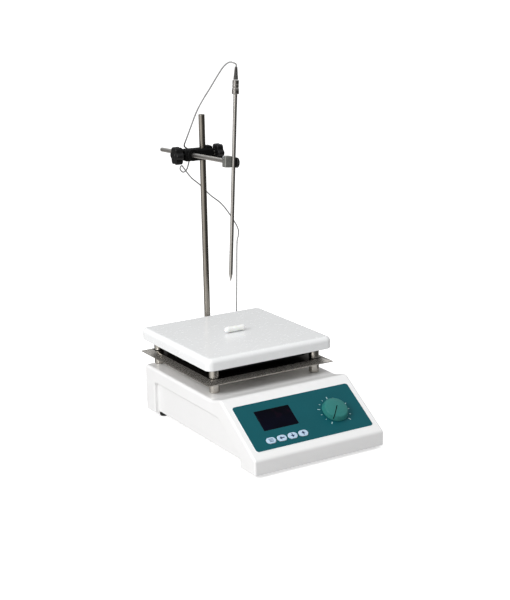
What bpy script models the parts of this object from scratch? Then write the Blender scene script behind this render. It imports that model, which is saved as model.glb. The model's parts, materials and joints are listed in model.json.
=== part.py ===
"""Hotplate magnetic stirrer with support stand, boss head, probe arm and temperature probe.

Frame: metres, +Z up. The origin is on the stirring axis, level with the bench.
-Y is the front, where the sloping control panel is; +X is the user's right.
Lengths below are in millimetres and are scaled by MM when a mesh is made.
"""

import math

import bmesh
import bpy
from mathutils import Vector

MM = 0.001
GAP = 0.3                  # seat gap between pieces that touch

# ---- housing ----
HOUSING_W = 192.0
FRONT_Y = -207.0           # front lip
REAR_Y = 86.0              # rear wall
SKIRT_Z = 4.0              # lower edge of the housing
REAR_SKIRT_Z = 8.0         # lower edge at the rear
LIP_Z = 23.0               # top of the front lip
CREST_Y, CREST_Z = -124.5, 77.8   # the slope ends in a low crest
STEP_Y = -103.0            # foot of the crest's rear ramp
DECK_Z = 71.5              # top of the housing
WALL = 3.0                 # casting wall
EDGE_R = 5.0               # outer edge rounding
POCKET_D = 6.0             # depth of the side recess
POCKET_TOP_Z = 52.0
POCKET_REAR_Y = 57.0
POCKET_L = 174.0           # length of the recess at its top
POCKET_LOW_Y = -170.0      # front of the recess at its foot
WALL_LOW_Z = 10.0          # lower edge of the wall in the side recesses
CAVITY_HALF_W = HOUSING_W / 2 - POCKET_D - WALL - 0.3
COVER_Z = 10.3             # underside of the bottom cover
COVER_T = 1.2
FOOT_R = 6.2
FOOT_X = 79.0
FOOT_FRONT_Y, FOOT_REAR_Y = -180.0, 64.0

# ---- control panel: S is the distance up the slope from the lip ----
PANEL_W, PANEL_H, PANEL_R = 174.0, 72.0, 4.0
PANEL_S = 48.0             # centre of the panel
RECESS = 0.9               # panel recess depth in the slope
DISPLAY_X, DISPLAY_S = -36.4, 55.2
DISPLAY_W, DISPLAY_H = 51.4, 31.4
BUTTON_PITCH = 15.7
BUTTON_X = [-60.5 + BUTTON_PITCH * i for i in range(4)]
BUTTON_S = 24.2
BUTTON_W, BUTTON_H = 13.4, 9.0
KNOB_AT = (46.5, 46.0, 0)
KNOB_R, KNOB_FACE_R, KNOB_H = 17.5, 14.6, 8.6
KNOB_REST = -141.0         # pointer direction in degrees, clockwise from up the slope
BOARD_FRONT = -12.0        # control board's front face, below the slope

# ---- plate, shield and drive ----
PLATE_S = 190.0            # heating plate side
PLATE_T = 16.0
PLATE_Z = 105.5            # underside of the heating plate
PLATE_CORNER_R = 9.0
PLATE_EDGE_R = 6.0
HEATER_S = 139.6           # side of the square heater pan
HEATER_Z = 94.5            # underside of the pan
HEATER_WALL = 1.2
ELEMENT_Z = 101.0          # underside of the element and the sensor
SHIELD_S = 190.0
SHIELD_Z = 91.0            # top of the flat of the heat shield
SHIELD_T = 1.0
SHIELD_DROP = 3.4
SHIELD_FLANGE = 10.5
POST_R = 6.8
POST_OFFSET = 76.5         # of each post from the stirring axis, in x and in y
MOTOR_R = 30.0
MOTOR_TOP_Z = 60.0
BRACKET_T = 2.0
HUB_TOP_Z = 86.2
MAGNET_X = 19.0
BAR_L, BAR_R = 30.0, 4.0

# ---- rear panel ----
REAR_PARTS_Z = 40.0        # centre height of the inlet and the switch
INLET_X = -47.5
SWITCH_X = -14.0
SOCKET_AT = (72, 0, 44)

# ---- stand and probe ----
ROD_X, ROD_Y = 15.0, 103.0
ROD_R = 4.25
ROD_BOTTOM, ROD_TOP = 42.0, 403.4
ROD_SOCKET_TOP = 60.0      # top of the bracket's ring around the rod
BOSS_Z = 349.5             # height of the boss head's clamp bores
BOSS_YAW = -5.0            # degrees, the arm points forward and slightly left
ARM_TILT = -3.0            # degrees, the arm rises slightly towards the front
ARM_OFFSET = -18.5         # arm bore from the rod bore, across
ARM_R = 3.0
ARM_FRONT = 121.5
ARM_BACK = 102.665
CLAMP_AT = 122.5           # probe clamp's centre along the arm
SCREW_R = 3.0              # boss head's clamp screws
STAR_R, STAR_ROOT_R = 12.9, 10.0   # lobes and hollows of the clamp knobs
PROBE_OFFSET = 8.0         # probe axis from the arm axis
PROBE_LEAN = 4.5           # degrees about the arm
PROBE_R = 2.5
PROBE_DOWN = 156.5         # tip below the arm axis
PROBE_UP = 86.0            # underside of the ferrule above the arm axis
STUD_Y, STUD_Z = 5.2, -1.2  # probe clamp's stud in the clamp frame
CABLE_R = 0.95

SMOOTH_ANGLE = math.radians(35)   # edges sharper than this stay sharp

# name: (base colour, roughness, metallic)
MATERIALS = {
    "white_enamel": ((0.82, 0.82, 0.81), 0.35, 0.0),
    "white_ceramic": ((0.80, 0.81, 0.81), 0.22, 0.0),
    "teal_overlay": ((0.012, 0.11, 0.13), 0.38, 0.0),
    "teal_knob": ((0.04, 0.21, 0.20), 0.4, 0.0),
    "black_window": ((0.004, 0.004, 0.01), 0.12, 0.0),
    "pale_key": ((0.55, 0.70, 0.80), 0.45, 0.0),
    "steel": ((0.55, 0.54, 0.52), 0.28, 1.0),
    "shield_steel": ((0.60, 0.58, 0.55), 0.18, 1.0),
    "zinc_plate": ((0.45, 0.46, 0.47), 0.45, 1.0),
    "black_plastic": ((0.015, 0.015, 0.017), 0.42, 0.0),
    "grey_alloy": ((0.22, 0.24, 0.23), 0.5, 0.8),
    "black_rubber": ((0.02, 0.02, 0.02), 0.8, 0.0),
    "green_board": ((0.02, 0.16, 0.07), 0.5, 0.0),
    "brass": ((0.55, 0.40, 0.15), 0.35, 1.0),
    "magnet": ((0.35, 0.35, 0.36), 0.3, 1.0),
    "insulation": ((0.62, 0.58, 0.50), 0.9, 0.0),
    "white_ptfe": ((0.88, 0.88, 0.86), 0.5, 0.0),
    "grey_cable": ((0.55, 0.55, 0.54), 0.55, 0.0),
}

for old in list(bpy.data.objects):
    bpy.data.objects.remove(old, do_unlink=True)


# ---- objects ----
def make_material(name):
    rgb, roughness, metallic = MATERIALS[name]
    mat = bpy.data.materials.new(name)
    mat.use_nodes = True
    shader = mat.node_tree.nodes["Principled BSDF"]
    shader.inputs["Base Color"].default_value = (*rgb, 1.0)
    shader.inputs["Roughness"].default_value = roughness
    shader.inputs["Metallic"].default_value = metallic
    mat.diffuse_color = (*rgb, 1.0)
    return mat


def add_object(name, data, at, parent):
    ob = bpy.data.objects.new(name, data)
    bpy.context.scene.collection.objects.link(ob)
    ob.location = Vector(at) * MM
    ob.parent = parent
    return ob


def mesh_object(name, bm, at, parent):
    """Turns a bmesh made in millimetres about its own origin into an object."""
    bmesh.ops.recalc_face_normals(bm, faces=bm.faces)
    bmesh.ops.scale(bm, vec=(MM, MM, MM), verts=bm.verts)
    mesh = bpy.data.meshes.new(name)
    bm.to_mesh(mesh)
    bm.free()
    return add_object(name, mesh, at, parent)


def piece(name, bm, material, at=(0, 0, 0), parent=None):
    ob = mesh_object(name, bm, at, parent)
    ob.data.materials.append(bpy.data.materials.get(material) or make_material(material))
    ob.data.shade_smooth()
    ob.data.set_sharp_from_angle(angle=SMOOTH_ANGLE)
    return ob


def frame(name, at, degrees=(0, 0, 0), parent=None):
    empty = add_object(name, None, at, parent)
    empty.rotation_euler = [math.radians(a) for a in degrees]
    return empty


def cut(ob, tool_bm, parent=None, at=(0, 0, 0), operation="DIFFERENCE"):
    """Cuts a hidden helper shape from a piece; the helper has its own parent and place."""
    tool = mesh_object("%s_tool%d" % (ob.name, len(ob.modifiers)), tool_bm, at, parent)
    tool.hide_render = True
    tool.display_type = "WIRE"
    mod = ob.modifiers.new("cut", "BOOLEAN")
    mod.object = tool
    mod.operation = operation
    mod.solver = "EXACT"


def join(ob, tool_bm, parent=None, at=(0, 0, 0)):
    cut(ob, tool_bm, parent, at, "UNION")


# ---- shapes ----
def span(size, centre=0.0):
    """The (low, high) pair of a length about its centre."""
    return centre - size / 2, centre + size / 2


def shifted(bm, at):
    bmesh.ops.translate(bm, vec=at, verts=bm.verts)
    return bm


def box(xs, ys, zs, r=0.0, seg=2, along=None):
    """A box from three (low, high) pairs, rounded on all edges or on those along one axis."""
    spans = (xs, ys, zs)
    bm = bmesh.new()
    bmesh.ops.create_cube(bm, size=1.0)
    bmesh.ops.scale(bm, vec=[hi - lo for lo, hi in spans], verts=bm.verts)
    shifted(bm, [(lo + hi) / 2 for lo, hi in spans])
    if r > 0:
        edges = list(bm.edges)
        if along:
            k = "xyz".index(along)
            edges = [e for e in edges if abs(e.verts[0].co[k] - e.verts[1].co[k]) > 1e-6]
        bmesh.ops.bevel(bm, geom=edges, offset=r, segments=seg, profile=0.5, affect="EDGES")
    return bm


def place(flat, height, axis):
    """Sets a flat point at a height on an axis; the flat point is (y, z), (x, z) or (x, y)."""
    point = list(flat)
    point.insert("xyz".index(axis), height)
    return point


def bridge(bm, low, high):
    """A strip of quads between two rings of vertices."""
    for i in range(len(low)):
        j = (i + 1) % len(low)
        bm.faces.new((low[i], low[j], high[j], high[i]))


def skin(rings):
    """A solid through rings of points, capped at both ends."""
    bm = bmesh.new()
    rings = [[bm.verts.new(point) for point in ring] for ring in rings]
    bm.faces.new(rings[0])
    bm.faces.new(rings[-1])
    for low, high in zip(rings, rings[1:]):
        bridge(bm, low, high)
    return bm


def prism(points, heights, axis="z"):
    """A flat polygon extruded between two heights on an axis."""
    return skin([[place(p, height, axis) for p in points] for height in heights])


def round_rect(w, h, r, seg, cx=0.0, cy=0.0):
    points = []
    for k, (sx, sy) in enumerate(((1, 1), (-1, 1), (-1, -1), (1, -1))):
        for i in range(seg + 1):
            a = math.pi / 2 * (k + i / seg)
            points.append((cx + sx * (w / 2 - r) + r * math.cos(a),
                           cy + sy * (h / 2 - r) + r * math.sin(a)))
    return points


def stadium(w, h, cx=0.0, cy=0.0):
    return round_rect(w, h, h / 2 - 0.01, 5, cx, cy)


def circle(r, seg):
    angles = [2 * math.pi * i / seg for i in range(seg)]
    return [(r * math.cos(a), r * math.sin(a)) for a in angles]


def cylinder(r, seg, heights, axis="z", at=(0, 0, 0)):
    return shifted(prism(circle(r, seg), heights, axis), at)


def lathe(profile, seg, axis="z", closed=False):
    """Turns (radius, height) points about an axis.

    An open profile is run flat to the axis at each end that isn't on it already.
    """
    if not closed:
        if profile[0][0]:
            profile = [(0, profile[0][1])] + profile
        if profile[-1][0]:
            profile = profile + [(0, profile[-1][1])]
    bm = bmesh.new()
    rings = []
    for radius, height in profile:
        flat = circle(radius, seg if radius else 1)
        if axis == "y":   # about y the angle runs from +z
            flat = [point[::-1] for point in flat]
        rings.append([bm.verts.new(place(point, height, axis)) for point in flat])
    for a, b in zip(rings, rings[1:] + (rings[:1] if closed else [])):
        if len(a) == len(b):
            bridge(bm, a, b)
            continue
        pole, rim = (a, b) if len(a) == 1 else (b, a)
        for i in range(seg):
            bm.faces.new((pole[0], rim[i], rim[(i + 1) % seg]))
    return bm


def chamfered_rod(r, low, high, chamfer, seg=24, axis="z"):
    return lathe([(r - chamfer, low), (r, low + chamfer),
                  (r, high - chamfer), (r - chamfer, high)], seg, axis)


def merge(*parts):
    """One bmesh from several, for tools made of separate shapes."""
    out = bmesh.new()
    for part in parts:
        mesh = bpy.data.meshes.new("tmp")
        part.to_mesh(mesh)
        part.free()
        out.from_mesh(mesh)
        bpy.data.meshes.remove(mesh)
    return out


def smooth_path(points, steps=3):
    """Catmull-Rom curve through control points."""
    p = [Vector(q) for q in points]
    p = [p[0] * 2 - p[1]] + p + [p[-1] * 2 - p[-2]]
    out = []
    for a, b, c, d in zip(p, p[1:], p[2:], p[3:]):
        for k in range(steps):
            t = k / steps
            out.append(0.5 * ((2 * b) + (c - a) * t + (2 * a - 5 * b + 4 * c - d) * t * t
                              + (3 * b - a - 3 * c + d) * t ** 3))
    out.append(p[-2])
    return out


def sweep(path, r, sides=6):
    """A round section carried along a path without twisting."""
    rings = []
    normal = None
    for i, centre in enumerate(path):
        ahead = path[min(i + 1, len(path) - 1)]
        tangent = (ahead - path[max(i - 1, 0)]).normalized()
        if normal is None:
            side = Vector((0, 0, 1)) if abs(tangent.z) < 0.9 else Vector((1, 0, 0))
            normal = tangent.cross(side).normalized()
        else:
            normal = (normal - tangent * normal.dot(tangent)).normalized()
        binormal = tangent.cross(normal)
        rings.append([centre + (normal * c + binormal * s) * r for c, s in circle(1, sides)])
    return skin(rings)


def star(low, high, lobes=6, per_lobe=8):
    """A lobed hand knob about x with softened faces."""
    n = lobes * per_lobe
    angles = [2 * math.pi * i / n for i in range(n)]
    radii = [STAR_ROOT_R + (STAR_R - STAR_ROOT_R) * (0.5 + 0.5 * math.cos(lobes * a)) ** 0.6
             for a in angles]
    # (scale of the outline, x)
    sections = ((0.86, low), (1.0, low + 1.4), (1.0, high - 1.4), (0.86, high))
    return skin([[(x, r * scale * math.cos(a), r * scale * math.sin(a))
                  for r, a in zip(radii, angles)] for scale, x in sections])


# ---- reference frames ----
SLOPE = math.atan2(CREST_Z - LIP_Z, CREST_Y - FRONT_Y)
# on the slope: local x across, y up the slope from the lip, z out of it
slope = frame("slope_frame", (0, FRONT_Y, LIP_Z), (math.degrees(SLOPE), 0, 0))
# the boss head: local -y points forward, +x across to the rod clamp knob
boss_frame = frame("boss_frame", (ROD_X, ROD_Y, BOSS_Z), (0, 0, BOSS_YAW))
arm_frame = frame("arm_frame", (ARM_OFFSET, 0, 0), (ARM_TILT, 0, 0), boss_frame)
clamp_frame = frame("clamp_frame", (0, -CLAMP_AT, 0), (0, PROBE_LEAN, 0), arm_frame)


# ---- housing ----
def inset_outline(depth, low):
    """The side profile as (y, z), moved inwards, without the crest, its foot at low."""
    outward = Vector((-math.sin(SLOPE), math.cos(SLOPE)))
    start = Vector((FRONT_Y, LIP_Z)) - outward * depth
    along = Vector((math.cos(SLOPE), math.sin(SLOPE)))
    front = start + along * ((FRONT_Y + depth - start.x) / along.x)
    top = start + along * ((DECK_Z - depth - start.y) / along.y)
    rear = REAR_Y - depth
    return [(FRONT_Y + depth, low), tuple(front), tuple(top), (rear, DECK_Z - depth), (rear, low)]


def hollow(shell):
    """A full-height cavity between the side recesses, and a wider one above them."""
    cut(shell, prism(inset_outline(WALL, -10), span(2 * CAVITY_HALF_W), "x"))
    low = POCKET_TOP_Z + 4.0
    _, front, top, rear_top, rear_low = inset_outline(WALL, low)
    rise = (low - front[1]) / (top[1] - front[1])
    front_low = (front[0] + (top[0] - front[0]) * rise + 1.0, low)
    cut(shell, prism([front_low, top, rear_top, rear_low], span(HOUSING_W - 10), "x"))


def side_recesses(shell):
    """Recesses open at the bottom, their front edge parallel to the slope."""
    floor_x = HOUSING_W / 2 - POCKET_D
    top_y = POCKET_REAR_Y - POCKET_L
    corner_y, corner_z = top_y - 1, POCKET_TOP_Z - 3
    recess = [(POCKET_REAR_Y, -10), (POCKET_REAR_Y, POCKET_TOP_Z - 4),
              (POCKET_REAR_Y - 4, POCKET_TOP_Z), (top_y + 5, POCKET_TOP_Z), (corner_y, corner_z),
              (POCKET_LOW_Y, corner_z + (POCKET_LOW_Y - corner_y) * math.tan(SLOPE)),
              (POCKET_LOW_Y, -10)]
    front, rear = POCKET_LOW_Y + 0.3, POCKET_REAR_Y - 0.3
    wall_foot = [(front, -11), (front, WALL_LOW_Z), (rear, WALL_LOW_Z), (rear, -11)]
    for side in (-1, 1):
        recess_x = sorted((side * floor_x, side * (HOUSING_W / 2 + 5)))
        foot_x = sorted((side * 84, side * (floor_x + 0.4)))
        cut(shell, prism(recess, recess_x, "x"))
        cut(shell, prism(wall_foot, foot_x, "x"))


def housing():
    skirt_step_y = POCKET_REAR_Y - 1.1
    outline = [(FRONT_Y, SKIRT_Z), (FRONT_Y, LIP_Z), (CREST_Y, CREST_Z), (STEP_Y, DECK_Z),
               (REAR_Y, DECK_Z), (REAR_Y, REAR_SKIRT_Z),
               (skirt_step_y, REAR_SKIRT_Z), (skirt_step_y, SKIRT_Z)]
    bm = prism(outline, span(HOUSING_W), "x")
    above_skirt = [e for e in bm.edges if max(v.co.z for v in e.verts) > REAR_SKIRT_Z + 1e-6]
    bmesh.ops.bevel(bm, geom=above_skirt, offset=EDGE_R, segments=3, profile=0.5, affect="EDGES")
    shell = piece("housing_shell", bm, "white_enamel")
    hollow(shell)
    side_recesses(shell)
    # panel recess, then the display, button and encoder openings in its floor
    panel = round_rect(PANEL_W + 0.8, PANEL_H + 0.8, PANEL_R + 0.4, 3, 0, PANEL_S)
    cut(shell, prism(panel, (-RECESS, 4)), slope)
    through = (-6, 4)
    cut(shell, merge(box(span(47.6, DISPLAY_X), span(28.4, DISPLAY_S), through),
                     *[cylinder(2.8, 12, through, at=(x, BUTTON_S, 0)) for x in BUTTON_X],
                     cylinder(3.9, 16, through, at=KNOB_AT)), slope)
    # shaft hole in the deck; inlet, switch and probe socket openings in the rear wall
    rear = (80, 90)
    cut(shell, merge(cylinder(9.0, 20, (60, 80)),
                     box(span(27, INLET_X), rear, span(20, REAR_PARTS_Z)),
                     box(span(13.2, SWITCH_X), rear, span(21.2, REAR_PARTS_Z)),
                     cylinder(6.3, 16, rear, "y", SOCKET_AT)))


def bottom_cover():
    inset = WALL + 0.4
    cover = piece("bottom_cover", box(span(2 * (CAVITY_HALF_W - 0.4)),
                                      (FRONT_Y + inset, REAR_Y - inset),
                                      (COVER_Z, COVER_Z + COVER_T)), "zinc_plate")
    slot_w, pitch = 8, 16
    starts = [-40 + pitch * i for i in range(6)]
    cut(cover, merge(*[box((x, x + slot_w), (-70, -20), (0, 20)) for x in starts]))


def feet():
    profile = [(FOOT_R - 0.8, 0), (FOOT_R, 0.8), (FOOT_R - 0.5, COVER_Z - GAP)]
    for end, y in (("front", FOOT_FRONT_Y), ("rear", FOOT_REAR_Y)):
        for side, x in (("left", -FOOT_X), ("right", FOOT_X)):
            piece("foot_%s_%s" % (end, side), lathe(profile, 20), "black_rubber", (x, y, 0))


# ---- control panel ----
def control_panel():
    overlay = piece("control_panel", prism(round_rect(PANEL_W, PANEL_H, PANEL_R, 4),
                                           (-RECESS + GAP, 0.2)),
                    "teal_overlay", (0, PANEL_S, 0), slope)
    through = (-4, 4)
    buttons = [prism(stadium(BUTTON_W + 0.8, BUTTON_H + 0.8, x, BUTTON_S), through)
               for x in BUTTON_X]
    cut(overlay, merge(box(span(DISPLAY_W, DISPLAY_X), span(DISPLAY_H, DISPLAY_S), through),
                       *buttons, cylinder(4.6, 16, through, at=KNOB_AT)), slope)


def display():
    at = (DISPLAY_X, DISPLAY_S, 0)
    piece("display_window", box(span(DISPLAY_W - 2 * 0.3), span(DISPLAY_H - 2 * 0.3),
                                (-RECESS + GAP, 0.4), 0.2, 1, "z"), "black_window", at, slope)
    piece("display_module", box(span(46), span(27), (BOARD_FRONT + GAP, -RECESS - GAP)),
          "black_plastic", at, slope)


def control_board():
    """Board behind the slope with a block under each button and three more."""
    board = piece("control_board", box((-78, 66), (16, 78), (-13.6, BOARD_FRONT)),
                  "green_board", (0, 0, 0), slope)
    root = BOARD_FRONT - 0.4
    join(board, merge(*[box(span(6, x), span(6, BUTTON_S), (root, -8.6)) for x in BUTTON_X],
                      box((8, 26), (20, 34), (root, -9.5)),
                      box((56, 64), (60, 74), (root, -8.0)),
                      box((0, 14), (62, 70), (-18, -13.0))), slope)


def speed_control():
    """Encoder with a bored neck, its shaft, and the knob with a pointer groove."""
    encoder = piece("speed_encoder", box(span(13), span(13), (BOARD_FRONT + GAP, -4.4),
                                         0.6, 1, "z"), "zinc_plate", KNOB_AT, slope)
    join(encoder, cylinder(3.4, 16, (-6, -0.4)), slope, KNOB_AT)
    cut(encoder, cylinder(2.35, 16, (-9.5, 4)), slope, KNOB_AT)
    knob_frame = frame("knob_frame", KNOB_AT, (0, 0, -KNOB_REST), slope)
    piece("encoder_shaft", lathe([(2.0, -9.1), (2.0, 7.0)], 12), "zinc_plate",
          parent=knob_frame)
    profile = [(2.4, 7.4), (2.4, 0.5), (KNOB_R - 0.6, 0.5), (KNOB_R, 1.1), (KNOB_R - 0.4, 2.6),
               (KNOB_FACE_R + 0.7, KNOB_H - 1.2), (KNOB_FACE_R - 0.6, KNOB_H - 0.1),
               (7, KNOB_H + 0.2), (0, KNOB_H + 0.3)]
    knob = piece("speed_knob", lathe(profile, 40), "teal_knob", parent=knob_frame)
    cut(knob, box(span(1.4), (1.0, 16), (KNOB_H - 0.9, KNOB_H + 2)), knob_frame)


def buttons():
    for name, x in zip(("menu", "back", "down", "up"), BUTTON_X):
        at = (x, BUTTON_S, 0)
        cap = prism(stadium(BUTTON_W, BUTTON_H), (0.0, 1.0))
        button = piece("button_" + name, cap, "pale_key", at, slope)
        join(button, cylinder(2.2, 12, (-7.8, 0.5)), slope, at)   # stem


# ---- drive ----
def motor():
    piece("drive_motor", lathe([(MOTOR_R, 18), (MOTOR_R, MOTOR_TOP_Z - 2),
                                (MOTOR_R - 2, MOTOR_TOP_Z), (11, MOTOR_TOP_Z),
                                (11, 65.4), (4.5, 65.4), (4.5, 24)], 32), "zinc_plate")
    piece("motor_shaft", lathe([(4.0, 26), (4.0, 85.0)], 16), "steel")
    # bracket plate with four pillars up to the deck
    low = MOTOR_TOP_Z + GAP
    plate = prism(round_rect(96, 96, 8, 2), (low, low + BRACKET_T))
    bracket = piece("motor_bracket", plate, "zinc_plate")
    cut(bracket, cylinder(11.6, 20, (56, 66)))
    pillar_z = (low + BRACKET_T - 0.3, DECK_Z - WALL - GAP)
    join(bracket, merge(*[cylinder(4.0, 10, pillar_z, at=(x, y, 0))
                          for x in (-41, 41) for y in (-41, 41)]))


def magnet_rotor():
    piece("magnet_hub", lathe([(4.4, 85.4), (4.4, 78.5), (10, 78.5), (10, 81.0),
                               (32, 81.0), (32, HUB_TOP_Z)], 32), "zinc_plate")
    for side, x in (("left", -MAGNET_X), ("right", MAGNET_X)):
        piece("magnet_" + side, lathe([(10.5, HUB_TOP_Z + GAP), (10.5, 93.6)], 20),
              "magnet", (x, 0, 0))


def power_board():
    """Board on four pillars, carrying boxes and two cylinders."""
    board_z = 17.0
    board = piece("power_board", box((-80, 60), (46, 80), (board_z, board_z + 1.6)),
                  "green_board")
    root = board_z + 1
    pillar_z = (COVER_Z + COVER_T + GAP, board_z + 0.4)
    join(board, merge(box((-74, -44), (50, 76), (root, 27.8)),
                      box((4, 30), (50, 56), (root, 34.0)),
                      *[cylinder(7, 12, (root, 28.0), at=(x, 66, 0)) for x in (-30, -12)],
                      box((36, 54), (62, 76), (root, 26.0)),
                      *[cylinder(2.5, 8, pillar_z, at=(x, y, 0))
                        for x in (-76, 56) for y in (49, 77)]))


# ---- heating plate assembly ----
def top_plate():
    top_z = PLATE_Z + PLATE_T
    bm = box(span(PLATE_S), span(PLATE_S), (PLATE_Z, top_z), PLATE_CORNER_R, 4, "z")
    top = [e for e in bm.edges if all(abs(v.co.z - top_z) < 1e-6 for v in e.verts)]
    bmesh.ops.bevel(bm, geom=top, offset=PLATE_EDGE_R, segments=4, profile=0.5, affect="EDGES")
    piece("top_plate", bm, "white_ceramic")


def heater():
    """Ring element and sensor under the plate, over an insulated pan."""
    top = PLATE_Z - GAP
    ring = [(22, ELEMENT_Z), (58, ELEMENT_Z), (60, 103.0), (58, top), (22, top), (20, 103.0)]
    piece("heating_element", lathe(ring, 36, closed=True), "steel")
    piece("plate_sensor", box(span(10), span(18), (ELEMENT_Z, top), 0.8, 1), "brass")
    floor = HEATER_Z + HEATER_WALL
    piece("insulation_pad", prism(round_rect(134, 134, 4, 2), (floor + GAP, 100.6)),
          "insulation")
    pan = piece("heater_cover", prism(round_rect(HEATER_S, HEATER_S, 6, 3), (HEATER_Z, top)),
                "black_plastic")
    inside = HEATER_S - 2 * HEATER_WALL
    cut(pan, prism(round_rect(inside, inside, 6 - HEATER_WALL, 3), (floor, 110)))


def heat_shield():
    """Flat sheet with its border bent down, and a round hole in the middle."""
    edge = SHIELD_S / 2
    flat = edge - SHIELD_FLANGE
    rim_z = SHIELD_Z - SHIELD_DROP
    # (half side, z)
    squares = ((flat, SHIELD_Z), (edge, rim_z), (edge, rim_z - SHIELD_T),
               (flat, SHIELD_Z - SHIELD_T))
    corners = ((-1, -1), (1, -1), (1, 1), (-1, 1))
    bm = skin([[(x * half, y * half, z) for x, y in corners] for half, z in squares])
    cut(piece("heat_shield", bm, "shield_steel"), cylinder(44, 36, (80, 100)))


def posts():
    levels = (("upper", SHIELD_Z + GAP, PLATE_Z - GAP),
              ("lower", DECK_Z + GAP, SHIELD_Z - SHIELD_T - GAP))
    for end, y in (("front", -POST_OFFSET), ("rear", POST_OFFSET)):
        for side, x in (("left", -POST_OFFSET), ("right", POST_OFFSET)):
            for level, low, high in levels:
                piece("%s_post_%s_%s" % (level, end, side),
                      chamfered_rod(POST_R, low, high, 0.4), "steel", (x, y, 0))


def stir_bar():
    """Rests on the centre of the plate, along x."""
    # (fraction of the radius, distance in from the end)
    tip = [(0, 0), (0.55, 0.6), (0.9, 2.2), (1, 4)]
    profile = [(BAR_R * f, -BAR_L / 2 + d) for f, d in tip]
    profile += [(BAR_R * f, BAR_L / 2 - d) for f, d in reversed(tip)]
    piece("stir_bar", lathe(profile, 20, "x"), "white_ptfe",
          (0, 0, PLATE_Z + PLATE_T + GAP + BAR_R))


# ---- rear panel ----
def power_inlet():
    def block(w, h, ys, r):
        return box(span(w, INLET_X), ys, span(h, REAR_PARTS_Z), r, 1, "y")

    inlet = piece("power_inlet", block(31, 24, (REAR_Y + GAP, REAR_Y + 2.4), 1.2),
                  "black_plastic")
    join(inlet, block(26, 19, (66, REAR_Y + 1.5), 2.0))
    cut(inlet, block(22.2, 14.8, (70, 95), 2.0))
    pins = ((-7, -1.5), (0, 1.5), (7, -1.5))   # (x, z) from the inlet's centre
    join(inlet, merge(*[box(span(2, INLET_X + x), (69, 82), span(4, REAR_PARTS_Z + z))
                        for x, z in pins]))


def power_switch():
    def block(w, h, ys, r=0.0):
        return box(span(w, SWITCH_X), ys, span(h, REAR_PARTS_Z), r, 1, "y")

    surround = piece("power_switch_frame", block(18, 26, (REAR_Y + GAP, REAR_Y + 2.0), 1.0),
                     "black_plastic")
    join(surround, block(12.4, 20.4, (72, REAR_Y + 1.5)))
    cut(surround, block(8.8, 16.8, (75, 95)))
    # the rocker turns about x and rests tipped
    rocker_frame = frame("rocker_frame", (SWITCH_X, REAR_Y - 1.5, REAR_PARTS_Z), (8, 0, 0))
    outline = [(-4.0, -3.5), (-4.0, 3.5), (1.5, 7.3), (5.2, 7.3), (3.2, 0), (5.2, -7.3),
               (1.5, -7.3)]   # (y, z)
    piece("power_rocker", prism(outline, (-4.1, 4.1), "x"), "black_plastic",
          parent=rocker_frame)


def probe_connector():
    socket = [(6.0, 70), (6.0, REAR_Y + GAP), (8.5, REAR_Y + GAP), (8.5, REAR_Y + 2.0),
              (5.9, REAR_Y + 2.0), (5.9, 78)]
    piece("probe_socket", lathe(socket, 20, "y"), "steel", SOCKET_AT)
    plug = [(5.4, 79), (5.4, REAR_Y + 2.4), (6.6, REAR_Y + 2.8), (6.6, REAR_Y + 15),
            (5.0, REAR_Y + 17), (3.0, REAR_Y + 24)]
    piece("probe_plug", lathe(plug, 18, "y"), "black_plastic", SOCKET_AT)


# ---- stand ----
def rod_mount():
    """Rear bracket with a ring around the rod, and the nut above it."""
    rod_at = (ROD_X, ROD_Y, 0)
    wall_plate = box(span(38), (REAR_Y + GAP, REAR_Y + 4), (28, 66), 4, 2, "y")
    bracket = piece("rod_bracket", wall_plate, "zinc_plate", (ROD_X, 0, 0))
    web = box(span(18), (REAR_Y + 2, ROD_Y), (40, 58))
    join(bracket, merge(web), at=(ROD_X, 0, 0))
    join(bracket, cylinder(10, 24, (38, ROD_SOCKET_TOP)), at=rod_at)
    cut(bracket, cylinder(ROD_R + GAP, 24, (30, 70)), at=rod_at)
    low = ROD_SOCKET_TOP + GAP
    nut = piece("rod_lock_nut", cylinder(8.6, 6, (low, low + 6)), "steel", rod_at)
    cut(nut, cylinder(ROD_R + GAP, 24, (50, 70)), at=rod_at)
    piece("support_rod", chamfered_rod(ROD_R, ROD_BOTTOM, ROD_TOP, 0.8), "steel", rod_at)


def boss_head():
    """Block with an upright rod bore, a fore-and-aft arm bore and a screw hole to each."""
    boss = piece("boss_head", box((-30, 14), span(20), span(16), 2.2, 2), "black_plastic",
                 parent=boss_frame)
    join(boss, box((2, 12), span(14), (6, 11), 2.0, 2), boss_frame)
    cut(boss, cylinder(ROD_R + GAP, 24, (-15, 15)), boss_frame)
    cut(boss, cylinder(ARM_R + GAP, 20, (-20, 20), "y"), arm_frame)
    cut(boss, merge(cylinder(SCREW_R + 0.4, 16, (2, 20), "x"),
                    cylinder(SCREW_R + 0.4, 16, (-36, ARM_OFFSET - 1), "x")), boss_frame)


def clamp_screws():
    rod_tip = ROD_R + 0.5
    arm_tip = ARM_OFFSET - ARM_R - 0.5
    rod_screw = [(2.4, rod_tip), (SCREW_R, rod_tip + 0.7), (SCREW_R, 24.0)]
    arm_screw = [(SCREW_R, -39.5), (SCREW_R, arm_tip - 0.7), (2.4, arm_tip)]
    # name, screw profile, knob's x range, x range of the knob's blind hole
    for name, screw, knob_x, hole_x in (("rod", rod_screw, (18.5, 28.0), (10, 24.4)),
                                        ("arm", arm_screw, (-43.5, -32.0), (-39.9, -30))):
        piece(name + "_clamp_screw", lathe(screw, 14, "x"), "steel", parent=boss_frame)
        knob = piece(name + "_clamp_knob", star(*knob_x), "black_plastic", parent=boss_frame)
        cut(knob, cylinder(SCREW_R + GAP, 14, hole_x, "x"), boss_frame)


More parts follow.
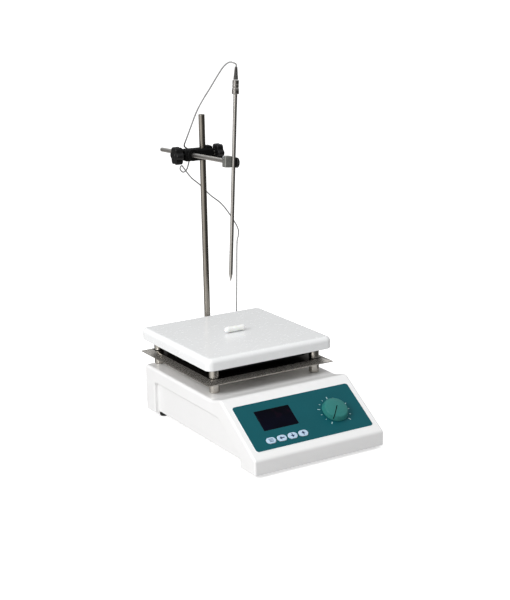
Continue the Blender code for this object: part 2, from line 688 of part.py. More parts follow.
def probe_arm():
    piece("probe_arm", chamfered_rod(ARM_R, -ARM_FRONT, ARM_BACK, 0.5, 20, "y"), "steel",
          parent=arm_frame)


# ---- probe clamp and probe ----
def probe_clamp():
    """Block on the arm's end; its stud passes behind the probe to a round nut."""
    face = PROBE_OFFSET
    stud_at = (0, STUD_Y, STUD_Z)
    block = piece("probe_clamp", box((-4.6, face - 2.8), (-1.5, 9.0), (-7.8, 7.2), 1.2, 2),
                  "grey_alloy", parent=clamp_frame)
    join(block, cylinder(1.9, 14, (face - 5, face + 5.2), "x", stud_at), clamp_frame)
    cut(block, cylinder(ARM_R + GAP, 20, (CLAMP_AT - ARM_FRONT - 0.5, 20), "y"), clamp_frame)
    # (radius, x from the probe axis)
    nut = [(2.3, 5.5), (2.3, 2.9), (6.2, 2.9), (6.6, 3.3), (6.6, 5.6), (6.2, 6.0)]
    nut = lathe([(r, face + x) for r, x in nut], 24, "x")
    piece("probe_clamp_nut", shifted(nut, stud_at), "black_plastic", parent=clamp_frame)


def probe():
    at = (PROBE_OFFSET, 0, 0)
    tube = [(0, -PROBE_DOWN), (0.5, -PROBE_DOWN + 0.4), (PROBE_R, -PROBE_DOWN + 9),
            (PROBE_R, PROBE_UP + 4)]
    piece("probe_tube", lathe(tube, 20), "steel", at, clamp_frame)
    # (radius, height above PROBE_UP)
    ferrule = [(2.8, 4.4), (2.8, 0), (4.2, 0), (4.6, 0.6), (4.6, 6.4), (3.9, 7.2),
               (3.9, 8.2), (4.1, 8.8), (4.1, 17.2), (3.5, 18)]
    relief = [(3.1, 18.3), (2.9, 24), (1.9, 34.6)]
    for name, profile, seg, material in (("ferrule", ferrule, 20, "steel"),
                                         ("strain_relief", relief, 16, "black_plastic")):
        piece("probe_" + name, lathe([(r, PROBE_UP + h) for r, h in profile], seg),
              material, at, clamp_frame)


def probe_cable():
    """Cable from the probe's head to behind the rod, then down to the plug."""
    bpy.context.view_layer.update()

    def above_probe(height):
        local = Vector((PROBE_OFFSET * MM, 0, (PROBE_UP + height) * MM))
        return (clamp_frame.matrix_world @ local) / MM

    leave = above_probe(37.4)
    # stations along each cable: (x, y, z)
    upper = [
        above_probe(35.9), leave, leave + Vector((-2.8, 2.0, 2.2)),
        (-1.0, -5.5, 481.0), (-2.3, 1.0, 478.6), (-2.6, 12, 472.2), (-4.2, 26, 458.9),
        (-6.2, 40, 444.3), (-9, 54, 429.2), (-11.8, 68, 411.7), (-12.8, 85, 388.2),
        (-11.8, 98, 373.5), (-9.5, 110, 362), (-2, 116.8, 356.5), (2.8, 118.5, 352),
    ]
    lower = [
        (2.8, 118.5, 350.6), (2.4, 118.4, 342), (0.5, 119, 333), (-2, 120.5, 326),
        (-6.5, 122, 323.5), (-10.5, 122.5, 328), (-9.5, 119.5, 333.0), (-6, 117, 327.5),
        (-1, 116.5, 320.5), (6, 117, 313), (17, 117.5, 304), (34, 119.5, 287.5),
        (52, 120.5, 273), (67, 121.5, 254.5), (79.5, 122.5, 234), (80.5, 123.5, 222),
        (78.5, 124, 211), (77, 124.5, 157), (75.5, 125, 100), (73.5, 124, 64),
        (72, 117, 47.5), (SOCKET_AT[0], REAR_Y + 24.5, SOCKET_AT[2]),
    ]
    for name, stations in (("upper", upper), ("lower", lower)):
        piece("probe_cable_" + name, sweep(smooth_path(stations), CABLE_R), "grey_cable")


for build in (housing, bottom_cover, feet,
              control_panel, display, control_board, speed_control, buttons,
              motor, magnet_rotor, power_board,
              top_plate, heater, heat_shield, posts, stir_bar,
              power_inlet, power_switch, probe_connector,
              rod_mount, boss_head, clamp_screws, probe_arm,
              probe_clamp, probe, probe_cable):
    build()
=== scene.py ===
"""Hotplate magnetic stirrer with a support rod, a clamped probe and the probe's cable.

Lengths are in millimetres in the product's own frame and are scaled to metres as each
mesh is made. The origin is on the stirring axis at bench level, -Y is the front and
+X is the user's right.
"""

import json
import math

import bmesh
import bpy
from mathutils import Matrix, Vector


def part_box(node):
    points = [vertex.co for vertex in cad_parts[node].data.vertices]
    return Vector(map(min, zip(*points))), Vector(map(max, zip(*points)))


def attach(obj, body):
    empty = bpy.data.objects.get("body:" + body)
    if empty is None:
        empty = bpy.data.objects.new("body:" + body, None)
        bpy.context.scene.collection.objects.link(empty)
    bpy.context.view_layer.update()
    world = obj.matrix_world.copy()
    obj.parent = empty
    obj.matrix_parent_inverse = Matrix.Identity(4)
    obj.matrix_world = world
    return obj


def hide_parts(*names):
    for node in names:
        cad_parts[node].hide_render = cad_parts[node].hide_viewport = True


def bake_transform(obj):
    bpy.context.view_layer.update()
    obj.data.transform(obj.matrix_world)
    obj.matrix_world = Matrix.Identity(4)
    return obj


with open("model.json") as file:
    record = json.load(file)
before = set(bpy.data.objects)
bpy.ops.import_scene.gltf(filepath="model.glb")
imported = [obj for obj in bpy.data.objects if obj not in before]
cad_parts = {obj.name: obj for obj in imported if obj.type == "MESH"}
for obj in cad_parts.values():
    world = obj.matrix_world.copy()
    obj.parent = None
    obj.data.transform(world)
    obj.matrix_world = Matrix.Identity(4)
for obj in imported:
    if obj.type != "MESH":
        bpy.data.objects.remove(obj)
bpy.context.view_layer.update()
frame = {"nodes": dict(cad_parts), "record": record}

MM = 0.001


def node_box(node):
    low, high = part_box(node)
    return low / MM, high / MM


# ---------------------------------------------------------------- dimensions
GAP = 0.3                       # clearance between neighbouring parts

# housing: lip at the front, slope up to the crest, step down to the deck
shell_low, shell_high = node_box("housing_shell")
HALF_W = shell_high.x
FRONT_Y, REAR_Y = shell_low.y, shell_high.y
SKIRT_Z, LIP_Z = 4.0, 23.0
CREST_Y, CREST_Z = -124.5, 77.8
STEP_Y, DECK_Z = -103.0, 71.5
WALL = 3.0
SLOPE_ANGLE = math.atan2(CREST_Z - LIP_Z, CREST_Y - FRONT_Y)
# recess in each side of the housing
POCKET_DEPTH, POCKET_TOP, POCKET_REAR = 6.0, 52.0, 57.0
POCKET_FRONT, POCKET_TOP_LENGTH = -170.0, 174.0

plate_low, plate_high = node_box("top_plate")
PLATE_SIZE = plate_high.x - plate_low.x
PLATE_Z, PLATE_TOP = plate_low.z, plate_high.z
SHIELD_Z, SHIELD_DROP, SHIELD_BORDER, SHEET = 91.0, 3.4, 10.5, 1.0

# control panel; S is measured up the slope from the lip
PANEL_W, PANEL_H, PANEL_S, PANEL_R, RECESS = 174.0, 72.0, 48.0, 4.0, 0.9
OVERLAY_BACK = -RECESS + GAP
DISPLAY_X, DISPLAY_S, DISPLAY_W, DISPLAY_H = -36.4, 55.2, 51.4, 31.4
KEY_X, KEY_S, KEY_W, KEY_H = (-60.5, -44.8, -29.1, -13.4), 24.2, 13.4, 9.0
KNOB_X, KNOB_S, KNOB_R, KNOB_FACE_R, KNOB_H = 46.5, 46.0, 17.5, 14.6, 8.6
KNOB_REST = -141.0              # degrees

# rear fittings
INLET_X, SWITCH_X, PORT_Z = -47.5, -14, 40
SOCKET_X, SOCKET_Z = 72, 44

# stand
ROD_X, ROD_Y, ROD_R, ROD_TOP, ROD_BOTTOM = 15.0, 103.0, 4.25, 403.4, 42.0
BOSS_Z, STUD_R = 349.5, 3.0
ARM_X, ARM_R, ARM_FRONT, ARM_BACK = -18.5, 3.0, 121.5, 102.665
CLAMP_AT = 122.5                # along the arm, forward of the boss
CLAMP_STUD_Y, CLAMP_STUD_Z = 5.2, -1.2
PROBE_X, PROBE_R, PROBE_DOWN, PROBE_UP = 8.0, 2.5, 156.5, 86.0
BAR_L, BAR_R = 30.0, 4.0


def shift(x, y, z):
    return Matrix.Translation((x, y, z))


def turn(degrees, axis):
    return Matrix.Rotation(math.radians(degrees), 4, axis)


# frames; on the slope y runs up it and z out of it
SLOPE = shift(0, FRONT_Y, LIP_Z) @ Matrix.Rotation(SLOPE_ANGLE, 4, "X")
KNOB = SLOPE @ shift(KNOB_X, KNOB_S, 0) @ turn(-KNOB_REST, "Z")
ROCKER = shift(SWITCH_X, REAR_Y - 1.5, PORT_Z) @ turn(8.0, "X")
ROD = shift(ROD_X, ROD_Y, 0)
BOSS = shift(ROD_X, ROD_Y, BOSS_Z) @ turn(-5.0, "Z")
ARM_IN_BOSS = shift(ARM_X, 0, 0) @ turn(-3.0, "X")
ARM = BOSS @ shift(ARM_X, 0, 0) @ turn(-3.0, "X")
CLAMP = ARM @ shift(0, -CLAMP_AT, 0) @ turn(4.5, "Y")
PROBE = CLAMP @ shift(PROBE_X, 0, 0)


# ---------------------------------------------------------------- shader helpers
def set_inputs(tree, node, inputs):
    """Sets inputs by socket: another node's socket is linked, anything else is a value."""
    for key, value in inputs.items():
        if isinstance(value, bpy.types.NodeSocket):
            tree.links.new(value, node.inputs[key])
        else:
            node.inputs[key].default_value = value


def add_node(tree, kind, inputs={}, **settings):
    node = tree.nodes.new("ShaderNode" + kind)
    for key, value in settings.items():
        setattr(node, key, value)
    set_inputs(tree, node, inputs)
    return node


def map_range(tree, value, source=(0.0, 1.0), target=(0.0, 1.0)):
    return add_node(tree, "MapRange", {
        "Value": value, "From Min": source[0], "From Max": source[1],
        "To Min": target[0], "To Max": target[1]}).outputs["Result"]


def mix_color(tree, factor, first, second):
    inputs = {"Factor": factor, "A": first, "B": second}
    return add_node(tree, "Mix", inputs, data_type="RGBA").outputs["Result"]


def math_node(tree, operation, *values, **settings):
    inputs = dict(enumerate(values))
    return add_node(tree, "Math", inputs, operation=operation, **settings).outputs[0]


# ---------------------------------------------------------------- materials
def srgb(*levels):
    """Linear colour from 0-255 sRGB levels."""
    out = []
    for c in levels:
        c = c / 255.0
        out.append(c / 12.92 if c <= 0.04045 else ((c + 0.055) / 1.055) ** 2.4)
    return tuple(out)


def finish(name, rgb, rough, metal=0.0, drift=0.05, patch=60.0, stretch=(1, 1, 1),
           rough_var=0.06, bump=0.03, grain=900.0, grain_stretch=None, coat=0.0, spec=0.5,
           edge=None, edge_amount=0.5, edge_r=0.0006, speck=None, painted_crevice_shade=None, sub=0.0):
    """A layered procedural finish.

    drift is the share by which the colour varies, patch the noise scale of that drift,
    grain the noise scale of the relief and of the roughness, which varies by rough_var.
    edge is the colour of rubbed edges, painted_crevice_shade the colour of painted shade
    in crevices found by ambient occlusion, and speck is
    (colour, noise scale, noise value where it starts, noise value where it is full).
    sub is the subsurface weight.
    """
    material = bpy.data.materials.new(name)
    material.use_nodes = True
    tree = material.node_tree
    coords = add_node(tree, "TexCoord").outputs["Object"]

    def noise(scale, stretch=(1, 1, 1), detail=4.0, roughness=0.55):
        mapping = add_node(tree, "Mapping", {"Vector": coords, "Scale": stretch})
        return add_node(tree, "TexNoise", {
            "Vector": mapping.outputs["Vector"], "Scale": scale, "Detail": detail,
            "Roughness": roughness}).outputs["Fac"]

    ramp = add_node(tree, "ValToRGB", {"Fac": noise(patch, stretch)})
    dark, light = ramp.color_ramp.elements
    dark.position, light.position = 0.3, 0.7
    dark.color = (*[c * (1 - drift) for c in rgb], 1)
    light.color = (*[min(1, c * (1 + drift)) for c in rgb], 1)
    color = ramp.outputs["Color"]

    if speck:
        speck_rgb, speck_scale, low, high = speck
        amount = map_range(tree, noise(speck_scale, detail=2.0), (low, high))
        color = mix_color(tree, amount, color, (*speck_rgb, 1))
    if edge:
        # the rounded normal leaves the true one near an edge; noise breaks up the wear
        rounded = add_node(tree, "Bevel", {"Radius": edge_r}, samples=4).outputs["Normal"]
        true = add_node(tree, "NewGeometry").outputs["Normal"]
        dot = add_node(tree, "VectorMath", {0: rounded, 1: true}, operation="DOT_PRODUCT")
        wear = map_range(tree, dot.outputs["Value"], (0.995, 0.90), (0, edge_amount))
        wear = math_node(tree, "MULTIPLY", wear, noise(400, detail=3.0))
        wear = math_node(tree, "MULTIPLY", wear, 2.0, use_clamp=True)
        color = mix_color(tree, wear, color, (*edge, 1))
    # painted shade: crevices found by ambient occlusion are darkened towards the given grey
    if painted_crevice_shade:
        hollow = add_node(tree, "AmbientOcclusion", {"Distance": 0.006}, samples=4)
        amount = map_range(tree, hollow.outputs["AO"], (0.85, 0.25), (0, 0.5))
        color = mix_color(tree, amount, color, (*painted_crevice_shade, 1))

    fine = noise(grain, grain_stretch or stretch, 3.0, 0.6)
    relief = add_node(tree, "Bump", {"Strength": bump, "Distance": 0.0004, "Height": fine})
    surface = tree.nodes["Principled BSDF"]
    set_inputs(tree, surface, {
        "Base Color": color,
        "Roughness": map_range(
            tree, fine, target=(max(0.02, rough - rough_var), rough + rough_var)),
        "Normal": relief.outputs["Normal"],
        "Metallic": metal,
        "Coat Weight": coat,
        "Coat Roughness": 0.12,
        "Specular IOR Level": spec})
    if sub:
        set_inputs(tree, surface, {
            "Subsurface Weight": sub,
            "Subsurface Radius": (0.004, 0.003, 0.002),
            "Subsurface Scale": 1.0})
    material.diffuse_color = (*rgb, 1)
    return material


# painted, coated and printed surfaces
# the enamel gets painted shade, a mid grey, in its occluded crevices
ENAMEL = finish("enamel_white", rgb=(0.80, 0.80, 0.80), rough=0.30, drift=0.012, patch=22,
                rough_var=0.05, bump=0.035, grain=420, coat=0.25, spec=0.45,
                painted_crevice_shade=(0.56, 0.55, 0.53))
CERAMIC = finish("plate_ceramic", rgb=(0.80, 0.81, 0.815), rough=0.26, drift=0.010, patch=14,
                 rough_var=0.05, bump=0.012, grain=260, coat=0.18)
UNDER = finish("plate_underside", rgb=(0.020, 0.018, 0.017), rough=0.55, metal=0.4,
               drift=0.35, patch=90, rough_var=0.1, bump=0.15, grain=700)
TEAL = finish("teal_overlay_film", rgb=(0.0030, 0.082, 0.100), rough=0.45, drift=0.035,
              patch=30, rough_var=0.04, bump=0.10, grain=2600, spec=0.10,
              edge=srgb(50, 130, 136), edge_r=0.0003)
TEAL_KNOB = finish("teal_knob_plastic", rgb=(0.021, 0.165, 0.152), rough=0.42, patch=70,
                   bump=0.12, grain=1600, spec=0.22, edge=srgb(88, 165, 152), edge_r=0.0005)
TRIM = finish("pale_trim", rgb=(0.86, 0.90, 0.92), rough=0.3, drift=0.02, rough_var=0.05)
GLASS = finish("display_glass", rgb=(0.0008, 0.0010, 0.0050), rough=0.22, drift=0.5, patch=38,
               rough_var=0.04, bump=0.01, grain=400, spec=0.03,
               speck=((0.010, 0.002, 0.008), 55, 0.58, 0.80))
BEZEL = finish("display_bezel", rgb=(0.003, 0.006, 0.009), rough=0.5, drift=0.2, patch=120,
               bump=0.08, grain=1800, spec=0.08)
KEY = finish("key_cap", rgb=srgb(176, 200, 222), rough=0.42, drift=0.03, patch=120,
             rough_var=0.05, bump=0.07, grain=2000, spec=0.4, edge=(0.85, 0.9, 0.95))
INK = finish("key_print", rgb=srgb(38, 56, 88), rough=0.5, drift=0.12, patch=600,
             rough_var=0.05, bump=0.05, grain=3000, spec=0.2)
PRINT = finish("panel_print", rgb=srgb(176, 208, 212), rough=0.5, drift=0.08, patch=500,
               rough_var=0.05, bump=0.05, grain=3000, spec=0.2)
# painted shade: near-black teal for a strip in the bottom of the knob's pointer groove
POINTER_GROOVE_SHADE = finish("pointer_groove_shade", rgb=(0.003, 0.020, 0.020), rough=0.5, drift=0.2, patch=300,
                     rough_var=0.05, bump=0.1, grain=1500, spec=0.06)
# metals
STEEL = finish("turned_steel", rgb=(0.50, 0.475, 0.435), rough=0.22, metal=1.0, drift=0.07,
               patch=30, stretch=(1, 1, 7), rough_var=0.07, bump=0.05,
               grain_stretch=(0.3, 0.3, 9))
ROD_STEEL = finish("ground_rod_steel", rgb=(0.33, 0.305, 0.27), rough=0.21, metal=1.0,
                   drift=0.10, patch=16, stretch=(1, 1, 3), rough_var=0.07, bump=0.05,
                   grain=1200, grain_stretch=(0.25, 0.25, 8))
ARM_STEEL = finish("drawn_arm_steel", rgb=(0.78, 0.755, 0.72), rough=0.34, metal=1.0,
                   drift=0.08, patch=30, stretch=(5, 0.5, 5), rough_var=0.07, bump=0.05,
                   grain_stretch=(8, 0.3, 8))
FERRULE = finish("ferrule_steel", rgb=(0.34, 0.325, 0.31), rough=0.24, metal=1.0, drift=0.08,
                 rough_var=0.07, bump=0.05, grain_stretch=(0.3, 0.3, 9))
PROBE_STEEL = finish("probe_sheath_steel", rgb=(0.52, 0.50, 0.475), rough=0.24, metal=1.0,
                     drift=0.12, patch=20, stretch=(2, 2, 1), rough_var=0.08, bump=0.05,
                     grain=1300, grain_stretch=(0.4, 0.4, 6),
                     speck=((0.33, 0.31, 0.29), 260, 0.6, 0.85))
SHIELD = finish("rolled_shield_steel", rgb=(0.56, 0.53, 0.485), rough=0.27, metal=0.85,
                drift=0.10, patch=26, stretch=(0.4, 3, 1), rough_var=0.05, bump=0.05,
                grain=500, grain_stretch=(0.4, 8, 1),
                speck=((0.20, 0.15, 0.10), 34, 0.62, 0.9))
# painted shade and dark reflection: near-black steel for the shield's flat top under the plate
SHIELD_TOP_SHADE = finish("shield_top_painted_shade", rgb=(0.040, 0.034, 0.028), rough=0.22, metal=0.9,
                   drift=0.30, patch=24, bump=0.06, grain=420)
ZINC = finish("zinc_plated_steel", rgb=(0.52, 0.53, 0.54), rough=0.36, metal=1.0, drift=0.12,
              patch=120, rough_var=0.10, bump=0.10,
              speck=((0.40, 0.41, 0.44), 900, 0.5, 0.75))
ALLOY = finish("blasted_grey_alloy", rgb=(0.215, 0.22, 0.205), rough=0.50, metal=0.6,
               drift=0.12, patch=200, rough_var=0.08, bump=0.35, grain=2400,
               edge=(0.45, 0.45, 0.43), edge_amount=0.7)
BRASS = finish("machined_brass", rgb=(0.62, 0.44, 0.17), rough=0.28, metal=1.0, drift=0.1,
               patch=100, rough_var=0.08, bump=0.08)
MAGNET = finish("nickel_magnet", rgb=(0.58, 0.57, 0.54), rough=0.2, metal=1.0, drift=0.06,
                patch=120, bump=0.04)
ELEMENT = finish("oxidised_element", rgb=(0.22, 0.19, 0.17), rough=0.45, metal=0.9, drift=0.3,
                 patch=140, rough_var=0.12, bump=0.2,
                 speck=((0.16, 0.10, 0.12), 90, 0.5, 0.7))
# plastics, rubbers and the rest
BLACK = finish("moulded_black", rgb=(0.0055, 0.0055, 0.006), rough=0.40, drift=0.25, patch=150,
               rough_var=0.08, bump=0.30, grain=1500, spec=0.20, edge=(0.03, 0.03, 0.03),
               edge_amount=0.45, edge_r=0.0007)
CAST_BLACK = finish("black_casting", rgb=(0.0030, 0.0030, 0.0032), rough=0.50, drift=0.3,
                    patch=180, rough_var=0.10, bump=0.45, grain=1100, spec=0.07,
                    edge=(0.018, 0.018, 0.017), edge_amount=0.45, edge_r=0.0009)
RUBBER = finish("foot_rubber", rgb=(0.016, 0.016, 0.016), rough=0.78, drift=0.25, patch=200,
                rough_var=0.1, bump=0.5, grain=1600, spec=0.3)
RELIEF = finish("relief_rubber", rgb=(0.05, 0.048, 0.045), rough=0.5, metal=0.35, drift=0.2,
                patch=300, rough_var=0.1, bump=0.3, grain=1800, edge=(0.25, 0.24, 0.23))
BOARD = finish("board_green", rgb=(0.012, 0.11, 0.045), rough=0.38, drift=0.2, patch=90,
               rough_var=0.08, bump=0.2, grain=700, speck=((0.05, 0.30, 0.14), 420, 0.55, 0.62))
MICA = finish("fibre_insulation", rgb=(0.60, 0.56, 0.47), rough=0.9, drift=0.18, patch=260,
              rough_var=0.05, bump=0.8, grain=800, stretch=(1, 4, 1))
PTFE = finish("waxy_ptfe", rgb=(0.86, 0.87, 0.86), rough=0.38, drift=0.02, patch=90,
              bump=0.06, sub=0.15)
SHEATH = finish("cable_sheath", rgb=(0.26, 0.26, 0.26), rough=0.48, drift=0.06, patch=200,
                bump=0.15, grain=1800, spec=0.35)
DULL_BLACK = finish("heat_black_paint", rgb=(0.012, 0.012, 0.012), rough=0.65, drift=0.3,
                    patch=200, rough_var=0.1, bump=0.4, grain=1300, spec=0.3)


# ---------------------------------------------------------------- outlines
def quarter(steps):
    """Angles over a quarter turn, both ends included."""
    return [math.pi / 2 * k / steps for k in range(steps + 1)]


def round_rect(w, h, r, seg=8, cx=0.0, cy=0.0):
    points = []
    for k, (sx, sy) in enumerate(((1, 1), (-1, 1), (-1, -1), (1, -1))):
        for i in range(seg + 1):
            a = math.pi / 2 * (k + i / seg)
            points.append((cx + sx * (w / 2 - r) + r * math.cos(a),
                           cy + sy * (h / 2 - r) + r * math.sin(a)))
    return points


def circle(r, seg, cx=0.0, cy=0.0):
    turns = [2 * math.pi * i / seg for i in range(seg)]
    return [(cx + r * math.cos(a), cy + r * math.sin(a)) for a in turns]


# the next three give a function of d, the outline inset by d
def soft_rect(w, h, r, seg=8, cx=0.0, cy=0.0):
    return lambda d: round_rect(w - 2 * d, h - 2 * d, max(0.02, r - d), seg, cx, cy)


def stadium(w, h):
    return lambda d: round_rect(w - 2 * d, h - 2 * d, (h - 2 * d) / 2 - 0.01, 14)


def disc(r, seg=40):
    return lambda d: circle(r - d, seg)


def put(points, t, axis="z"):
    """Places a flat outline at t along axis."""
    return [{"z": (p[0], p[1], t), "x": (t, p[0], p[1]), "y": (p[0], t, p[1])}[axis]
            for p in points]


def fillet(points, radii, seg=4):
    """Rounds the corners of an open polyline; radii is one radius or one per point."""
    out = [points[0]]
    for i in range(1, len(points) - 1):
        before, corner, after = Vector(points[i - 1]), Vector(points[i]), Vector(points[i + 1])
        r = radii[i] if isinstance(radii, (list, tuple)) else radii
        u, v = before - corner, after - corner
        u_len, v_len = u.length, v.length
        if r <= 0 or u_len < 1e-6 or v_len < 1e-6:
            out.append(tuple(corner))
            continue
        u /= u_len
        v /= v_len
        angle = math.acos(max(-1, min(1, u.dot(v))))
        if angle > math.pi - 0.02:
            out.append(tuple(corner))
            continue
        d = min(r / math.tan(angle / 2), u_len * 0.48, v_len * 0.48)
        start, end = corner + u * d, corner + v * d
        for k in range(seg + 1):
            t = k / seg
            out.append(tuple(start * (1 - t) ** 2 + corner * 2 * t * (1 - t) + end * t * t))
    out.append(points[-1])
    return out


def smooth_path(points, per=10):
    """Catmull-Rom curve with per steps between points."""
    p = [Vector(q) for q in points]
    p = [p[0] * 2 - p[1]] + p + [p[-1] * 2 - p[-2]]
    out = []
    for i in range(1, len(p) - 2):
        a, b, c, d = p[i - 1:i + 3]
        for k in range(per):
            t = k / per
            out.append(0.5 * ((2 * b) + (c - a) * t + (2 * a - 5 * b + 4 * c - d) * t * t
                              + (3 * b - a - 3 * c + d) * t ** 3))
    out.append(p[-2])
    return out


# ---------------------------------------------------------------- solids
def loft(rings):
    """Closed body through rings of equal length."""
    bm = bmesh.new()
    verts = [[bm.verts.new(p) for p in ring] for ring in rings]
    n = len(verts[0])
    for a, b in zip(verts, verts[1:]):
        for i in range(n):
            bm.faces.new((a[i], a[(i + 1) % n], b[(i + 1) % n], b[i]))
    bm.faces.new(verts[0])
    bm.faces.new(verts[-1])
    return bm


def box(x0, x1, y0, y1, z0, z1, r=0.0, seg=4):
    bm = bmesh.new()
    bmesh.ops.create_cube(bm, size=1.0)
    bmesh.ops.scale(bm, vec=(x1 - x0, y1 - y0, z1 - z0), verts=bm.verts)
    middle = ((x0 + x1) / 2, (y0 + y1) / 2, (z0 + z1) / 2)
    bmesh.ops.translate(bm, vec=middle, verts=bm.verts)
    if r > 0:
        bmesh.ops.bevel(bm, geom=list(bm.edges), offset=r, segments=seg, profile=0.5,
                        affect="EDGES")
    return bm


def prism(points, low, high, axis="z"):
    return loft([put(points, low, axis), put(points, high, axis)])


def soft_prism(shape, z0, z1, r, seg=4, axis="z", low=True):
    """Prism of shape(d) with its high rim, and its low one if asked, rounded by r."""
    rings = []
    if low:
        for a in quarter(seg):
            rings.append(put(shape(r * (1 - math.sin(a))), z0 + r * (1 - math.cos(a)), axis))
    else:
        rings.append(put(shape(0), z0, axis))
    for a in quarter(seg):
        rings.append(put(shape(r * (1 - math.cos(a))), z1 - r * (1 - math.sin(a)), axis))
    return loft(rings)


def lathe(profile, seg=48, axis="z", closed=False):
    """Turns a profile of (radius, height along axis); closed joins its last ring to its first."""
    bm = bmesh.new()
    place = {"z": lambda r, a, h: (r * math.cos(a), r * math.sin(a), h),
             "x": lambda r, a, h: (h, r * math.cos(a), r * math.sin(a)),
             "y": lambda r, a, h: (r * math.sin(a), h, r * math.cos(a))}[axis]
    rings = []
    for r, h in profile:
        if r < 1e-9:
            rings.append([bm.verts.new(place(0, 0, h))])
        else:
            rings.append([bm.verts.new(place(r, 2 * math.pi * i / seg, h))
                          for i in range(seg)])
    pairs = list(zip(rings, rings[1:])) + ([(rings[-1], rings[0])] if closed else [])
    for a, b in pairs:
        for i in range(seg):
            j = (i + 1) % seg
            if len(a) == 1:
                bm.faces.new((a[0], b[i], b[j]))
            elif len(b) == 1:
                bm.faces.new((a[i], a[j], b[0]))
            else:
                bm.faces.new((a[i], a[j], b[j], b[i]))
    return bm


def knurled(profile, seg, axis, teeth, depth, low, high):
    """A turned shape whose rings between low and high carry small straight flutes."""
    bm = lathe(profile, seg, axis)
    along = "xyz".index(axis)
    u, v = [i for i in range(3) if i != along]
    for vert in bm.verts:
        co = vert.co
        r = math.hypot(co[u], co[v])
        if low < co[along] < high and r > 1:
            a = math.atan2(co[v], co[u])
            scale = 1 - depth / r * (0.5 - 0.5 * math.cos(teeth * a))
            co[u] *= scale
            co[v] *= scale
    return bm


def stud(x0, x1, r):
    """Threaded stud about x with ridges 1.25 mm apart."""
    points = [(0, x0), (r - 0.45, x0)]
    for k in range(int((x1 - x0 - 1.2) / 1.25)):
        x = x0 + 0.6 + 1.25 * k
        points += [(r - 0.30, x), (r, x + 0.45), (r, x + 0.70), (r - 0.30, x + 1.15)]
    points += [(r - 0.45, x1), (0, x1)]
    return lathe(points, 36, "x")


def sweep(path, r, sides, face=None):
    """A tube along path.

    With face, the rings away from both ends turn to face that way, so that the tube
    keeps its thickness when it is sheared across face.
    """
    rings = []
    normal = None
    last = len(path) - 1
    for i, q in enumerate(path):
        t = (path[min(i + 1, last)] - path[max(i - 1, 0)]).normalized()
        if face is not None:
            f = Vector(face) * (1 if Vector(face).dot(t) >= 0 else -1)
            k = min(1.0, i / 5.0, (last - i) / 5.0)
            k *= min(1.0, max(0.0, (f.dot(t) - 0.35) / 0.25))
            t = (t * (1 - k) + f * k).normalized()
        if normal is None:
            normal = t.cross(Vector((0, 0, 1)) if abs(t.z) < 0.9 else Vector((1, 0, 0)))
            normal.normalize()
        else:
            normal = (normal - t * normal.dot(t)).normalized()
        side = t.cross(normal)
        turns = [2 * math.pi * j / sides for j in range(sides)]
        rings.append([q + (normal * math.cos(a) + side * math.sin(a)) * r for a in turns])
    return loft(rings)


def merged(*parts):
    out = bmesh.new()
    for part in parts:
        me = bpy.data.meshes.new("tmp")
        part.to_mesh(me)
        part.free()
        out.from_mesh(me)
        bpy.data.meshes.remove(me)
    return out


def moved(bm, matrix):
    bmesh.ops.transform(bm, matrix=matrix, verts=bm.verts)
    return bm


def to_object(name, bm):
    me = bpy.data.meshes.new(name)
    bm.to_mesh(me)
    bm.free()
    ob = bpy.data.objects.new(name, me)
    bpy.context.scene.collection.objects.link(ob)
    return ob


def work_object(bm):
    bmesh.ops.recalc_face_normals(bm, faces=bm.faces)
    return to_object("work", bm)


def applied(ob, tools=()):
    """The bmesh of ob with its modifiers applied; ob and its tools are deleted."""
    graph = bpy.context.evaluated_depsgraph_get()
    graph.update()
    me = bpy.data.meshes.new_from_object(ob.evaluated_get(graph))
    for used in (*tools, ob):
        old = used.data
        bpy.data.objects.remove(used, do_unlink=True)
        bpy.data.meshes.remove(old)
    bm = bmesh.new()
    bm.from_mesh(me)
    bpy.data.meshes.remove(me)
    bmesh.ops.remove_doubles(bm, verts=bm.verts, dist=1e-4)
    return bm


CUT, JOIN, KEEP = "DIFFERENCE", "UNION", "INTERSECT"


def carve(base, ops):
    """Applies exact Booleans, given as (kind, bmesh), in order."""
    ob = work_object(base)
    tools = []
    for kind, tool in ops:
        tools.append(work_object(tool))
        boolean = ob.modifiers.new("boolean", "BOOLEAN")
        boolean.object = tools[-1]
        boolean.operation = kind
        boolean.solver = "EXACT"
    bm = applied(ob, tools)
    bmesh.ops.dissolve_degenerate(bm, edges=bm.edges, dist=1e-4)
    return bm


def weighted_bevel(bm, width_of, seg=6):
    """Bevel with its own width for each edge, 0 for none."""
    widest = 10.0
    weights = bm.edges.layers.float.new("bevel_weight_edge")
    for edge in bm.edges:
        edge[weights] = width_of(edge) / widest
    ob = work_object(bm)
    bevel = ob.modifiers.new("bevel", "BEVEL")
    bevel.limit_method = "WEIGHT"
    bevel.width = widest
    bevel.segments = seg
    bevel.use_clamp_overlap = False
    return applied(ob)


def soften(bm, r, seg, angle):
    """Rounds the edges sharper than angle."""
    bmesh.ops.dissolve_limit(bm, angle_limit=math.radians(0.5), verts=bm.verts,
                             edges=bm.edges)
    edges = [e for e in bm.edges
             if len(e.link_faces) == 2 and e.calc_face_angle(0) > math.radians(angle)]
    bmesh.ops.bevel(bm, geom=edges, offset=r, segments=seg, profile=0.5, affect="EDGES",
                    clamp_overlap=True)
    return bm


